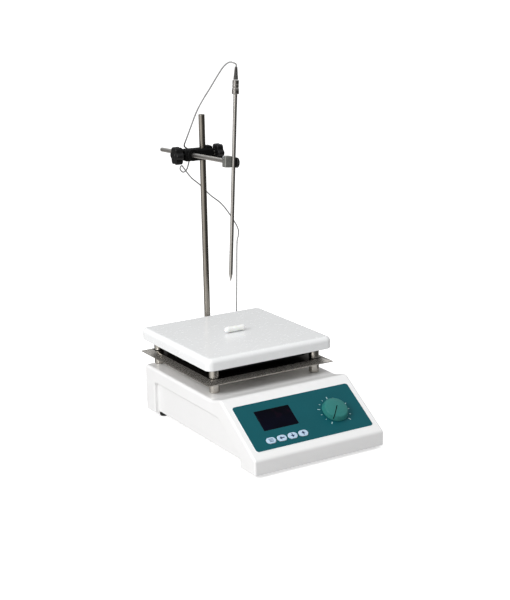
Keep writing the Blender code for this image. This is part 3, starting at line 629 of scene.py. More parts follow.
def piece(name, bm, material, body, node=None, matrix=None, sharp=38, weighted=True,
          ride=True):
    """Makes an object riding on body; node is the CAD node it replaces."""
    if matrix is not None:
        moved(bm, matrix)
    bmesh.ops.recalc_face_normals(bm, faces=bm.faces)
    bmesh.ops.scale(bm, vec=(MM, MM, MM), verts=bm.verts)
    ob = to_object(name, bm)
    ob.data.materials.append(material)
    ob.data.shade_smooth()
    ob.data.set_sharp_from_angle(angle=math.radians(sharp))
    if weighted:
        modifier = ob.modifiers.new("weighted", "WEIGHTED_NORMAL")
        modifier.keep_sharp = True
        modifier.weight = 60
    if ride:
        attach(ob, body)
    if node:
        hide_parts(node)
    return ob


def corners(x, front, rear):
    return (("front_left", -x, front), ("front_right", x, front),
            ("rear_left", -x, rear), ("rear_right", x, rear))


# ---------------------------------------------------------------- housing
def shell_block():
    """Solid block with a sloping front and rounded edges."""
    pocket_end = POCKET_REAR - 1.1
    outline = [(FRONT_Y, SKIRT_Z), (FRONT_Y, LIP_Z), (CREST_Y, CREST_Z), (STEP_Y, DECK_Z),
               (REAR_Y, DECK_Z), (REAR_Y, 8.0), (pocket_end, 8.0), (pocket_end, SKIRT_Z)]

    def width_of(edge):
        a, b = edge.verts[0].co, edge.verts[1].co
        y = ((a + b) / 2).y
        if max(a.z, b.z) <= 8.01:
            return 0.0
        if abs(a.x - b.x) > 1:
            for line_y, width in ((FRONT_Y, 2.6), (CREST_Y, 4.0), (STEP_Y, 5.0)):
                if abs(y - line_y) < 1:
                    return width
            return 6.0
        if abs(a.y - b.y) < 1:
            return 2.6 if abs(a.y - FRONT_Y) < 1 else 6.0
        if y < CREST_Y:
            return 2.8
        return 3.4 if y < STEP_Y else 4.0

    return weighted_bevel(prism(outline, -HALF_W, HALF_W, "x"), width_of)


def cavity():
    half = HALF_W - POCKET_DEPTH - WALL - 0.3
    along = Vector((math.cos(SLOPE_ANGLE), math.sin(SLOPE_ANGLE)))
    outward = Vector((-math.sin(SLOPE_ANGLE), math.cos(SLOPE_ANGLE)))
    start = Vector((FRONT_Y, LIP_Z)) - outward * WALL
    front = start + along * ((FRONT_Y + WALL - start.x) / along.x)
    top = start + along * ((DECK_Z - WALL - start.y) / along.y)
    outline = [(FRONT_Y + WALL, -10), tuple(front), tuple(top),
               (REAR_Y - WALL, DECK_Z - WALL), (REAR_Y - WALL, -10)]
    return prism(outline, -half, half, "x")


def side_recesses():
    """Cutters for the two side pockets, filleted at the floor and softened at the rim."""
    top_front = POCKET_REAR - POCKET_TOP_LENGTH
    slant_z = POCKET_TOP + (POCKET_FRONT - top_front) * math.tan(SLOPE_ANGLE)
    outline = fillet([(POCKET_REAR, -10.0), (POCKET_REAR, POCKET_TOP), (top_front, POCKET_TOP),
                      (POCKET_FRONT, slant_z), (POCKET_FRONT, -10.0)],
                     [0, 7.0, 7.0, 5.0, 0], 8)
    n = len(outline)

    def offset(d):
        """Moves the outline out by d; the two lowest points only move along y."""
        out = []
        for i in range(n):
            p = Vector(outline[i])
            if i in (0, n - 1):
                out.append((p.x + (d if i == 0 else -d), p.y))
                continue
            e1 = (p - Vector(outline[i - 1])).normalized()
            e2 = (Vector(outline[(i + 1) % n]) - p).normalized()
            n1, n2 = Vector((e1.y, -e1.x)), Vector((e2.y, -e2.x))
            m = (n1 + n2).normalized()
            out.append(tuple(p + m * d / max(0.5, m.dot(n1))))
        return out

    floor_r, rim_r, over = 3.2, 2.2, 0.02
    y0, y1 = POCKET_FRONT + 0.4, POCKET_REAR - 0.4
    cutters = []
    for s in (-1, 1):
        rings = []
        for a in quarter(6):
            x = HALF_W - POCKET_DEPTH + floor_r * (1 - math.cos(a))
            rings.append(put(offset(-floor_r * (1 - math.sin(a))), s * x, "x"))
        for k, a in enumerate(quarter(6)):
            x = HALF_W - rim_r + rim_r * math.sin(a) + (over if k == 6 else 0)
            rings.append(put(offset(rim_r * (1 - math.cos(a))), s * x, "x"))
        rings.append(put(offset(rim_r + over), s * (HALF_W + 5), "x"))
        cutters.append(loft(rings))
        # opens the underside behind the pocket floor
        low, high = sorted((s * 84, s * (HALF_W - POCKET_DEPTH + 0.6)))
        cutters.append(prism([(y0, -11), (y0, 10.0), (y1, 10.0), (y1, -11)], low, high, "x"))
    return cutters


def housing():
    on_slope = [
        prism(round_rect(PANEL_W + 0.9, PANEL_H + 0.9, PANEL_R + 0.45, 12, 0, PANEL_S),
              -RECESS, 4),
        box(DISPLAY_X - 23.8, DISPLAY_X + 23.8, DISPLAY_S - 14.2, DISPLAY_S + 14.2, -6, 4),
        *[prism(circle(2.8, 20, x, KEY_S), -6, 4) for x in KEY_X],
        prism(circle(3.9, 28, KNOB_X, KNOB_S), -6, 4)]
    deck_and_rear = [
        prism(circle(9.0, 32), 60, 80),
        box(INLET_X - 13.5, INLET_X + 13.5, 80, 90, PORT_Z - 10, PORT_Z + 10),
        box(-20.6, -7.4, 80, 90, 29.4, 50.6),
        prism(circle(6.3, 28, SOCKET_X, SOCKET_Z), 80, 90, "y")]
    cutters = [cavity(), *side_recesses(), *[moved(c, SLOPE) for c in on_slope],
               *deck_and_rear]
    return carve(shell_block(), [(CUT, cutter) for cutter in cutters])


piece("housing_visual", housing(), ENAMEL, "base", "housing_shell", sharp=32)

# ---------------------------------------------------------------- feet, cover screws
for tag, x, y in corners(79, -180, 64):
    profile = fillet([(0, 1.0), (2.6, 1.0), (2.6, 0), (5.6, 0), (6.2, 3.4), (5.2, 3.9),
                      (5.2, 4.6), (6.1, 5.1), (5.7, 10.0), (0, 10.0)], 0.35, 3)
    piece("foot_visual_" + tag, lathe(profile, 40), RUBBER, "base",
          "foot_" + tag, shift(x, y, 0))


def screw_head(r=3.0, h=1.3):
    """Pan head with a cross recess, facing local -Z."""
    profile = [(0, -h), (r * 0.72, -h), (r, -0.25), (r, 0.0), (0, 0.0)]
    half_w, half_l = 0.42, r * 0.62
    return carve(lathe(fillet(profile, 0.25, 4), 28), [
        (CUT, box(-half_w, half_w, -half_l, half_l, -h - 1, -h + 0.6)),
        (CUT, box(-half_l, half_l, -half_w, half_w, -h - 1, -h + 0.6))])


COVER_SCREWS = ((-79, -150), (79, -150), (-79, 34), (79, 34), (0, -196), (0, 74))  # x, y
for i, (x, y) in enumerate(COVER_SCREWS):
    piece("cover_screw_%d" % i, screw_head(), ZINC, "base",
          matrix=shift(x, y, 10.2))

# ---------------------------------------------------------------- control panel
overlay = carve(
    soft_prism(soft_rect(PANEL_W, PANEL_H, PANEL_R, 14, 0, PANEL_S),
               OVERLAY_BACK, 0.25, 0.12, 2, low=False),
    [(CUT, box(DISPLAY_X - DISPLAY_W / 2, DISPLAY_X + DISPLAY_W / 2,
               DISPLAY_S - DISPLAY_H / 2, DISPLAY_S + DISPLAY_H / 2, -4, 4))]
    + [(CUT, prism(round_rect(KEY_W + 0.8, KEY_H + 0.8, (KEY_H + 0.8) / 2 - 0.01, 12,
                              x, KEY_S), -4, 4)) for x in KEY_X]
    + [(CUT, prism(circle(4.6, 32, KNOB_X, KNOB_S), -4, 4))])
piece("panel_overlay", overlay, TEAL, "base", "control_panel", SLOPE)

rim = carve(
    soft_prism(soft_rect(PANEL_W + 0.85, PANEL_H + 0.85, PANEL_R + 0.42, 14, 0, PANEL_S),
               -RECESS + 0.05, 0.32, 0.12, 2, low=False),
    [(CUT, prism(round_rect(PANEL_W + 0.05, PANEL_H + 0.05, PANEL_R + 0.02, 14, 0, PANEL_S),
                 -4, 4))])
piece("panel_rim", rim, TRIM, "base", matrix=SLOPE)

glass = soft_prism(soft_rect(DISPLAY_W - 1.6, DISPLAY_H - 1.6, 0.5, 4, DISPLAY_X, DISPLAY_S),
                   OVERLAY_BACK, 0.30, 0.15, 3, low=False)
piece("display_glass", glass, GLASS, "base", "display_window", SLOPE)
bezel = carve(
    soft_prism(soft_rect(DISPLAY_W - 0.5, DISPLAY_H - 0.5, 0.4, 4, DISPLAY_X, DISPLAY_S),
               OVERLAY_BACK + 0.02, 0.42, 0.12, 2, low=False),
    [(CUT, prism(round_rect(DISPLAY_W - 1.5, DISPLAY_H - 1.5, 0.5, 4, DISPLAY_X, DISPLAY_S),
                 -4, 4))])
piece("display_bezel", bezel, BEZEL, "base", matrix=SLOPE)


def dial_ticks(count=13, sweep_degrees=282):
    """Printed scale round the knob; every third tick is longer and wider."""
    ticks = []
    for i in range(count):
        a = math.radians(-KNOB_REST) - math.radians(sweep_degrees) * i / (count - 1)
        w, outer = (0.95, 23.4) if i % 3 == 0 else (0.6, 21.8)
        ticks.append(moved(box(-w / 2, w / 2, 19.8, outer, 0.2, 0.31),
                           shift(KNOB_X, KNOB_S, 0) @ Matrix.Rotation(a, 4, "Z")))
    return merged(*ticks)


piece("dial_ticks", dial_ticks(), PRINT, "base", matrix=SLOPE, weighted=False)


# ---------------------------------------------------------------- keys
def key_cap():
    """Crowned cap with a round stem."""
    shape = stadium(KEY_W, KEY_H)
    stations = [(0.3, 0.0), (0.0, 0.25)]        # inset, height
    stations += [(0.55 * (1 - math.cos(a)), 0.62 + 0.38 * math.sin(a)) for a in quarter(5)]
    stations += [(1.2, 1.07), (2.2, 1.13), (3.4, 1.16)]
    cap = loft([put(shape(inset), z) for inset, z in stations])
    return carve(cap, [(JOIN, prism(circle(2.2, 20), -7.8, 0.5))])


SYMBOL_SX, SYMBOL_SY, STROKE = 1.3, 1.2, 0.62   # scales of the key symbols
SYMBOL_Z = (1.02, 1.22)


def bar(x0, y0, x1, y1, w):
    p = Vector((x0 * SYMBOL_SX, y0 * SYMBOL_SY))
    q = Vector((x1 * SYMBOL_SX, y1 * SYMBOL_SY))
    d = (q - p).normalized()
    n = Vector((-d.y, d.x)) * w * STROKE
    return prism([tuple(p + n), tuple(p - n), tuple(q - n), tuple(q + n)], *SYMBOL_Z)


def triangle(*points):
    return prism([(x * SYMBOL_SX, y * SYMBOL_SY) for x, y in points], *SYMBOL_Z)


key_symbols = {
    "menu": merged(*[bar(-2.2, y, 2.2, y, 0.6) for y in (1.5, 0.0, -1.5)]),
    "back": merged(triangle((-2.8, 0), (-0.3, 2.1), (-0.3, -2.1)), bar(-0.4, 0, 2.7, 0, 1.1)),
    "down": merged(triangle((0, -2.4), (2.3, 0.3), (-2.3, 0.3)), bar(0, 0.2, 0, 2.4, 1.2)),
    "up": merged(triangle((0, 2.4), (-2.3, -0.3), (2.3, -0.3)), bar(0, -0.2, 0, -2.4, 1.2)),
}
for (key, symbol), x in zip(key_symbols.items(), KEY_X):
    place = SLOPE @ shift(x, KEY_S, 0)
    piece("key_" + key, key_cap(), KEY, key + "_key", "button_" + key, place,
          sharp=50)
    piece("key_symbol_" + key, symbol, INK, key + "_key", matrix=place,
          weighted=False)


# ---------------------------------------------------------------- speed knob
def speed_knob():
    """Softly domed knob with shallow flutes round its skirt and a pointer groove."""
    seg, flutes, flute_depth = 144, 24, 0.20
    profile = fillet(
        [(2.6, 6.9), (2.6, 0.5), (KNOB_R - 0.5, 0.5), (KNOB_R, 1.2), (KNOB_R - 0.3, 2.4),
         (KNOB_FACE_R + 1.0, KNOB_H - 1.5), (KNOB_FACE_R - 0.3, KNOB_H - 0.75),
         (9.5, KNOB_H + 0.25), (4.5, KNOB_H + 0.75), (0.8, KNOB_H + 0.9)],
        [0, 0.1, 0.3, 0.5, 0.8, 1.2, 1.3, 3.0, 3.0, 0], 6)
    rings = []
    for r, h in profile:
        ring = []
        for i in range(seg):
            a = 2 * math.pi * i / seg
            cut = 0.0
            if h > 1.3 and r > KNOB_FACE_R - 0.2:
                fade = min(1.0, (h - 1.3) / 1.6)
                fade *= min(1.0, max(0.0, (KNOB_H - 0.7 - h) / 1.2))
                cut = -flute_depth * fade * (0.5 - 0.5 * math.cos(flutes * a)) ** 2
            ring.append(((r + cut) * math.cos(a), (r + cut) * math.sin(a), h))
        rings.append(ring)
    groove = [(-2.2, KNOB_H - 1.5), (11.6, KNOB_H - 1.7), (14.0, KNOB_H - 2.9), (15.4, 2.2),
              (22, 2.2), (22, KNOB_H + 3), (-2.2, KNOB_H + 3)]
    return carve(loft(rings), [(CUT, prism(groove, -0.75, 0.75, "x"))])


# a dark strip along the pointer groove's bottom, painted shade that deepens the groove's dark
# line
pointer = prism([(-2.0, KNOB_H - 1.9), (11.4, KNOB_H - 2.2), (13.6, KNOB_H - 3.3), (15.0, 2.4),
                 (16.4, 2.4), (14.9, KNOB_H - 2.6), (12.6, KNOB_H - 1.2),
                 (-2.0, KNOB_H - 0.6)], -0.72, 0.72, "x")
piece("speed_knob_pointer", pointer, POINTER_GROOVE_SHADE, "speed_dial", matrix=KNOB)
piece("speed_knob_visual", speed_knob(), TEAL_KNOB, "speed_dial", "speed_knob",
      KNOB, sharp=45)


# ---------------------------------------------------------------- heating plate, shield, posts
def plate():
    top_r, low_r, corner_r = 6.4, 1.2, 9.5

    def ring(d, z):
        side = PLATE_SIZE - 2 * d
        return put(round_rect(side, side, max(0.6, corner_r - d), 12), z)

    rings = [ring(low_r * (1 - math.sin(a)), PLATE_Z + low_r * (1 - math.cos(a)))
             for a in quarter(5)]
    rings += [ring(top_r * (1 - math.cos(a)), PLATE_TOP - top_r * (1 - math.sin(a)))
              for a in quarter(12)]
    return loft(rings)


plate_ob = piece("top_plate_visual", plate(), CERAMIC, "base", "top_plate",
                 sharp=60)
plate_ob.data.materials.append(UNDER)
for face in plate_ob.data.polygons:
    if face.normal.z < -0.6:
        face.material_index = 1


def shield():
    """Sheet with its border turned down and a round hole in the middle."""
    half = PLATE_SIZE / 2
    profile = fillet([(half, SHIELD_Z - SHIELD_DROP), (half - SHIELD_BORDER, SHIELD_Z),
                      (50.0, SHIELD_Z)], 2.0, 5)
    top = [put(round_rect(2 * r, 2 * r, 0.8, 2), z) for r, z in profile]
    low = [put(round_rect(2 * r, 2 * r, 0.8, 2), z - SHEET) for r, z in profile]
    return carve(loft(top[::-1] + low), [(CUT, prism(circle(44, 72), 80, 100))])


shield_ob = piece("heat_shield_visual", shield(), SHIELD, "base",
                  "heat_shield", sharp=30)
# the flat top inside the turned-down border gets the near-black steel of painted shade and
# reflection
shield_ob.data.materials.append(SHIELD_TOP_SHADE)
shaded_top_limit = (PLATE_SIZE / 2 - SHIELD_BORDER + 0.5) * MM
for face in shield_ob.data.polygons:
    if face.normal.z > 0.999 and max(abs(face.center.x), abs(face.center.y)) < shaded_top_limit:
        face.material_index = 1


def post(z0, z1, r=6.8):
    """Turned post with a shallow groove near its foot."""
    points = [(0, z0), (r - 0.55, z0), (r, z0 + 0.55), (r, z0 + 1.6), (r - 0.22, z0 + 1.85),
              (r - 0.22, z0 + 2.15), (r, z0 + 2.4), (r, z1 - 0.55), (r - 0.55, z1), (0, z1)]
    return lathe(fillet(points, 0.15, 3), 56)


POSTS = (("upper_post_", SHIELD_Z + GAP, PLATE_Z - GAP),
         ("lower_post_", DECK_Z + GAP, SHIELD_Z - SHEET - GAP))     # name, bottom, top
for tag, x, y in corners(76.5, -76.5, 76.5):
    for part, z0, z1 in POSTS:
        piece(part + "visual_" + tag, post(z0, z1), STEEL, "base", part + tag,
              shift(x, y, 0))

# ---------------------------------------------------------------- power inlet and switch
INLET_WELL = [(-58.6, 35.4), (-58.6, 47.4), (-36.4, 47.4), (-36.4, 35.4), (-39.4, 32.6),
              (-55.6, 32.6)]                    # x, z
INLET_PINS = ((-54.0, 38.0), (-47.5, 42.0), (-41.0, 38.0))      # x, z
inlet = carve(
    soft_prism(soft_rect(31, 24, 3.0, 8, INLET_X, PORT_Z), REAR_Y + GAP, REAR_Y + 2.4,
               0.8, 4, "y", low=False),
    [(JOIN, soft_prism(soft_rect(26, 19, 2.5, 8, INLET_X, PORT_Z), 66, REAR_Y + 1.5,
                       0.3, 2, "y")),
     (CUT, prism(INLET_WELL, 70, 95, "y"))])
piece("inlet_visual", inlet, BLACK, "base", "power_inlet")
pins = [soft_prism(soft_rect(2.0, 4.4, 0.5, 4, x, z), 69, 82.5, 0.4, 3, "y")
        for x, z in INLET_PINS]
piece("inlet_pins", merged(*pins), BRASS, "base")

switch = carve(
    soft_prism(soft_rect(18, 26, 1.6, 6, SWITCH_X, PORT_Z), REAR_Y + GAP, REAR_Y + 2.0,
               0.6, 4, "y", low=False),
    [(JOIN, box(-20.2, -7.8, 72, REAR_Y + 1.5, 29.8, 50.2)),
     (CUT, soft_prism(soft_rect(8.8, 16.8, 0.6, 4, SWITCH_X, PORT_Z), 75, 95, 0.2, 1, "y"))])
piece("switch_frame_visual", switch, BLACK, "base", "power_switch_frame")

rocker = fillet([(-4.0, -3.5), (-4.0, 3.5), (1.5, 7.3), (5.2, 7.3), (3.2, 0), (5.2, -7.3),
                 (1.5, -7.3), (-4.0, -3.5)], [0, 0.4, 0.5, 0.6, 4.0, 0.6, 0.5, 0], 6)[:-1]
piece("rocker_visual", soften(prism(rocker, -4.1, 4.1, "x"), 0.35, 3, 60), BLACK, "rocker",
      "power_rocker", ROCKER)
on_mark = moved(box(-1.4, 1.4, -0.12, 0.12, -0.35, 0.35),
                shift(0, 4.55, 4.6) @ turn(-14, "X") @ turn(90, "Y"))
piece("rocker_mark_on", on_mark, TRIM, "rocker", matrix=ROCKER,
      weighted=False)
off_mark = lathe([(1.35, -0.1), (1.35, 0.1), (1.0, 0.1), (1.0, -0.1)], 28, "y", closed=True)
piece("rocker_mark_off", moved(off_mark, shift(0, 4.55, -4.6) @ turn(14, "X")), TRIM,
      "rocker", matrix=ROCKER, weighted=False)

# ---------------------------------------------------------------- probe socket and plug
SOCKET = shift(SOCKET_X, 0, SOCKET_Z)
profile = fillet([(0, 70), (6.0, 70), (6.0, REAR_Y + GAP), (8.5, REAR_Y + GAP),
                  (8.5, REAR_Y + 2.0), (5.9, REAR_Y + 2.0), (5.9, 78), (0, 78)], 0.35, 3)
piece("socket_visual", lathe(profile, 48, "y"), STEEL, "base", "probe_socket",
      SOCKET)
profile = fillet([(0, 79), (5.4, 79), (5.4, REAR_Y + 2.4), (6.6, REAR_Y + 2.8),
                  (6.6, REAR_Y + 4.2), (6.6, REAR_Y + 12.5), (6.6, REAR_Y + 15),
                  (5.0, REAR_Y + 17), (3.0, REAR_Y + 24), (0, REAR_Y + 24)], 0.4, 3)
piece("plug_visual", knurled(profile, 96, "y", 24, 0.5, REAR_Y + 4.0, REAR_Y + 13.0), BLACK,
      "base", "probe_plug", SOCKET, sharp=50)

# ---------------------------------------------------------------- rod bracket and lock nut
bracket = carve(
    soft_prism(soft_rect(38, 38, 5.0, 8, 0, 47), REAR_Y + GAP, REAR_Y + 4, 0.6, 3, "y",
               low=False),
    [(JOIN, soft_prism(soft_rect(18, 18, 2.5, 6, 0, 49), REAR_Y + 1.5, ROD_Y, 0.3, 2, "y")),
     (JOIN, moved(soft_prism(disc(10, 56), 38, 60, 0.8, 3), shift(0, ROD_Y, 0))),
     (CUT, prism(circle(ROD_R + GAP, 48, 0, ROD_Y), 30, 70))])
piece("bracket_visual", bracket, ZINC, "base", "rod_bracket",
      shift(ROD_X, 0, 0))
for i, (x, z) in enumerate(((-14.5, 33), (14.5, 33), (-14.5, 61), (14.5, 61))):
    piece("bracket_screw_%d" % i, screw_head(2.6, 1.4), ZINC, "base",
          matrix=shift(ROD_X + x, REAR_Y + 4.0, z) @ turn(90, "X"))


def lock_nut(r=8.6, z0=60.3, z1=66.3):
    """Hexagon with turned corners."""
    turned = lathe([(0, z0), (r * 0.90, z0), (r * 1.02, z0 + r * 0.07),
                    (r * 1.02, z1 - r * 0.07), (r * 0.90, z1), (0, z1)], 60)
    bore = prism(circle(ROD_R + GAP, 48), z0 - 5, z1 + 5)
    return carve(prism(circle(r, 6), z0, z1), [(KEEP, turned), (CUT, bore)])


piece("lock_nut_visual", lock_nut(), STEEL, "base", "rod_lock_nut", ROD)

# ---------------------------------------------------------------- rod and boss head
profile = fillet([(0, ROD_BOTTOM), (ROD_R, ROD_BOTTOM), (ROD_R, ROD_TOP), (0, ROD_TOP)],
                 [0, 0.8, 0.8, 0], 5)
# rings between the two rounded ends
shaft = [(ROD_R, ROD_BOTTOM + (ROD_TOP - ROD_BOTTOM) * k / 24) for k in range(1, 24)]
piece("rod_visual", lathe(profile[:7] + shaft + profile[7:], 64), ROD_STEEL, "rod",
      "support_rod", ROD)

boss = carve(box(-30, 14, -10, 10, -8.0, 8.0, 3.4, 6), [
    (JOIN, box(1.5, 12.5, -7.5, 7.5, 4.0, 11.0, 2.6, 5)),
    (JOIN, moved(soft_prism(disc(8.2, 56), -11.4, 11.4, 1.2, 4, "y"), ARM_IN_BOSS)),
    (JOIN, soft_prism(disc(6.0, 48), 8, 15.4, 1.0, 3, "x")),
    (CUT, prism(circle(ROD_R + GAP, 48), -20, 20)),
    (CUT, moved(prism(circle(ARM_R + GAP, 40), -24, 24, "y"), ARM_IN_BOSS)),
    (CUT, prism(circle(3.4, 32), 2, 20, "x")),
    (CUT, prism(circle(3.4, 32), -40, ARM_X - 1, "x"))])
piece("boss_visual", boss, CAST_BLACK, "boss", "boss_head", BOSS, sharp=30)


def star_knob(x0, x1, outward):
    """Lobed hand knob about x; its dished outer face is at x1 if outward is 1, at x0 if -1."""
    r, waist, lobes, rim = 12.9, 9.8, 6, 2.0
    n = lobes * 24
    angles = [2 * math.pi * i / n for i in range(n)]
    radii = [waist + (r - waist) * (0.5 + 0.5 * math.cos(lobes * a)) ** 0.62 for a in angles]
    mid = sum(radii) / n
    t = x1 - x0
    # scale, height, strength of the lobes
    stations = [(1 - rim / r * (1 - math.sin(a)), rim * (1 - math.cos(a)), 1.0)
                for a in quarter(6)]
    stations += [(1.0 + 0.004 * math.sin(math.pi * k / 4), rim + (t - 4.0) * k / 4, 1.0)
                 for k in range(1, 4)]
    stations += [(1 - rim / r * (1 - math.cos(a)), t - rim * (1 - math.sin(a)), 1.0)
                 for a in quarter(6)]
    stations += [
        (0.68, t - 0.02, 0.75), (0.62, t - 0.25, 0.5), (0.55, t - 0.9, 0.2),
        (0.48, t - 1.0, 0.0), (0.40, t - 0.95, 0.0), (0.37, t - 0.3, 0.0),
        (0.34, t - 0.08, 0.0), (0.28, t + 0.0, 0.0), (0.12, t + 0.05, 0.0)]
    rings = []
    for scale, h, lobed in stations:
        x = x0 + h if outward > 0 else x1 - h
        rings.append([(x, (mid + (p - mid) * lobed) * scale * math.cos(a),
                       (mid + (p - mid) * lobed) * scale * math.sin(a))
                      for a, p in zip(angles, radii)])
    return loft(rings)


rod_knob = carve(star_knob(18.5, 28.0, 1), [
    (JOIN, soft_prism(disc(6.0, 48), 16.9, 19.5, 0.5, 3, "x")),
    (CUT, prism(circle(3.3, 32), 10, 24.4, "x"))])
piece("rod_knob_visual", rod_knob, BLACK, "rod_knob", "rod_clamp_knob", BOSS,
      sharp=45)
arm_knob = carve(star_knob(-43.5, -32.6, -1), [
    (CUT, prism(circle(3.3, 32), -39.9, -30, "x"))])
piece("arm_knob_visual", arm_knob, BLACK, "arm_knob", "arm_clamp_knob", BOSS,
      sharp=45)
piece("rod_screw_visual", stud(ROD_R + 0.5, 24.0, STUD_R), STEEL, "rod_screw",
      "rod_clamp_screw", BOSS, sharp=25)
piece("arm_screw_visual", stud(-39.5, ARM_X - ARM_R - 0.5, STUD_R), STEEL, "arm_screw",
      "arm_clamp_screw", BOSS, sharp=25)
profile = fillet([(0, -ARM_FRONT), (ARM_R, -ARM_FRONT), (ARM_R, ARM_BACK), (0, ARM_BACK)],
                 [0, 0.6, 0.6, 0], 4)
piece("arm_visual", lathe(profile, 48, "y"), ARM_STEEL, "arm", "probe_arm", ARM)

# ---------------------------------------------------------------- probe clamp
clamp = carve(box(-4.6, PROBE_X - 2.8, -1.5, 9.0, -7.8, 7.2, 1.5, 5), [
    (JOIN, moved(stud(PROBE_X - 5, PROBE_X + 5.2, 1.9),
                 shift(0, CLAMP_STUD_Y, CLAMP_STUD_Z))),
    (CUT, prism(circle(ARM_R + GAP, 40), CLAMP_AT - ARM_FRONT - 0.5, 20, "y")),
    (CUT, box(-0.45, 0.45, 2.0, 12, 2.6, 12))])
piece("clamp_visual", clamp, ALLOY, "clamp", "probe_clamp", CLAMP, sharp=30)
profile = fillet([(0, -4.6), (1.9, -4.6), (2.2, -4.9), (2.2, -6.3), (0, -6.3)], 0.2, 3)
set_screw = carve(lathe(profile, 28, "x"), [(CUT, prism(circle(1.05, 6), -7, -5.4, "x"))])
piece("clamp_set_screw", set_screw, ZINC, "clamp",
      matrix=CLAMP @ shift(0.15, 3.6, 4.6))

# two knurled nuts of one profile: on the stud, and in front of it
profile = fillet([(r, PROBE_X + x) for r, x in (
    (0, 5.5), (2.3, 5.5), (2.3, 2.9), (6.1, 2.9), (6.6, 3.4), (6.6, 5.5), (6.1, 6.0),
    (2.6, 6.0), (2.1, 5.8), (0, 5.8))], 0.25, 3)
CLAMP_NUTS = ((0.4, 3.2, 5.7, CLAMP_STUD_Y, CLAMP_STUD_Z),
              (0.45, 4.0, 7.7, 0, -1.5))        # flute depth, flutes from, to, nut y, z
for depth, low, high, y, z in CLAMP_NUTS:
    nut = knurled(profile, 120, "x", 30, depth, PROBE_X + low, PROBE_X + high)
    piece("clamp_nut_visual", nut, BLACK, "clamp_nut", "probe_clamp_nut",
          CLAMP @ shift(0, y, z), sharp=50)

# ---------------------------------------------------------------- probe
profile = fillet([(0, -PROBE_DOWN), (0.7, -PROBE_DOWN + 0.5), (PROBE_R, -PROBE_DOWN + 9.5),
                  (PROBE_R, -PROBE_DOWN + 14), (PROBE_R, PROBE_UP + 4), (0, PROBE_UP + 4)],
                 [0, 0.6, 3.0, 0, 0.3, 0], 5)
piece("probe_tube_visual", lathe(profile, 48), PROBE_STEEL, "probe", "probe_tube",
      PROBE)
profile = [(r, PROBE_UP + h) for r, h in (
    (0, 4.4), (2.8, 4.4), (2.8, 0), (4.2, 0), (4.6, 0.6), (4.6, 5.0), (4.25, 5.3),
    (4.25, 5.8), (4.6, 6.1), (4.6, 6.7), (3.9, 7.4), (3.9, 8.4), (4.15, 8.9), (4.15, 11.6),
    (3.95, 11.9), (3.95, 12.4), (4.15, 12.7), (4.15, 17.2), (3.5, 18), (0, 18))]
piece("ferrule_visual", lathe(fillet(profile, 0.18, 3), 56), FERRULE, "probe",
      "probe_ferrule", PROBE)
profile = [(0, PROBE_UP + 18.3), (3.1, PROBE_UP + 18.3)]
for k in range(12):     # tapering ribs
    h = PROBE_UP + 18.8 + 1.28 * k
    r = 3.2 - 1.3 * k / 11.0
    profile += [(r - 0.42, h), (r, h + 0.35), (r, h + 0.80), (r - 0.42, h + 1.15)]
profile += [(1.5, PROBE_UP + 34.6), (0, PROBE_UP + 34.6)]
piece("strain_relief_visual", lathe(fillet(profile, 0.15, 2), 40), RELIEF, "probe",
      "probe_strain_relief", PROBE, sharp=50)

# ---------------------------------------------------------------- stir bar
profile = fillet(
    [(0, -BAR_L / 2), (BAR_R * 0.75, -BAR_L / 2), (BAR_R, -BAR_L / 2 + 3),
     (BAR_R - 0.35, -2.3), (BAR_R - 0.35, -2.2), (BAR_R, -1.6), (BAR_R, 1.6),
     (BAR_R - 0.35, 2.2), (BAR_R - 0.35, 2.3), (BAR_R, BAR_L / 2 - 3),
     (BAR_R * 0.75, BAR_L / 2), (0, BAR_L / 2)],
    [0, 2.0, 2.0, 0.2, 0.2, 0.4, 0.4, 0.2, 0.2, 2.0, 2.0, 0], 5)
piece("stir_bar_visual", lathe(profile, 48, "x"), PTFE, "bar", "stir_bar",
      shift(0, 0, PLATE_TOP + GAP + BAR_R))

# ---------------------------------------------------------------- probe cable
# Each length is a fixed tube named after the two bodies it runs between. Paths are x, y, z.
relief_in = CLAMP @ Vector((PROBE_X, 0, PROBE_UP + 33.6))
relief_out = CLAMP @ Vector((PROBE_X, 0, PROBE_UP + 37.4))
UPPER_PATH = [      # from the strain relief down to the boss head
    tuple(relief_in), tuple(relief_out),
    (relief_out.x - 2.8, relief_out.y + 2.0, relief_out.z + 2.2),
    (-1.0, -5.5, 481.0), (-2.3, 1.0, 478.6), (-2.6, 12, 472.2), (-4.2, 26, 458.9),
    (-6.2, 40, 444.3), (-9, 54, 429.2), (-11.8, 68, 411.7), (-12.8, 85, 388.2),
    (-11.8, 98, 373.5), (-9.5, 110, 362), (-2, 116.8, 356.5), (2.8, 118.5, 352)]
LOWER_PATH = [      # from the boss head, round a loop, down to the plug
    (2.8, 118.5, 352), (2.4, 118.4, 342), (0.5, 119, 333), (-2, 120.5, 326),
    (-6.5, 122, 323.5), (-10.5, 122.5, 328), (-9.5, 119.5, 333.0), (-6, 117, 327.5),
    (-1, 116.5, 320.5), (6, 117, 313), (17, 117.5, 304), (34, 119.5, 287.5),
    (52, 120.5, 273), (67, 121.5, 254.5), (79.5, 122.5, 234), (80.5, 123.5, 222),
    (78.5, 124, 211), (77, 124.5, 157), (75.5, 125, 100), (73.5, 124, 64),
    (72, 117, 47.5), (72, REAR_Y + 23.0, 44)]


def cable(name, path, a, node, face=None):
    tube = sweep(path, 0.95 if face is None else 1.05, 14, face)
    ob = piece(name, tube, SHEATH, a, node, ride=False, weighted=False, sharp=60)
    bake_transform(ob)


def split(path, heights):
    """Cuts a path after it first rises above each height; neighbours share that point."""
    out, i = [], 0
    for height in heights:
        k = next(j for j in range(i + 1, len(path)) if path[j].z > height)
        out.append(path[i:k + 1])
        i = k
    out.append(path[i:])
    return out


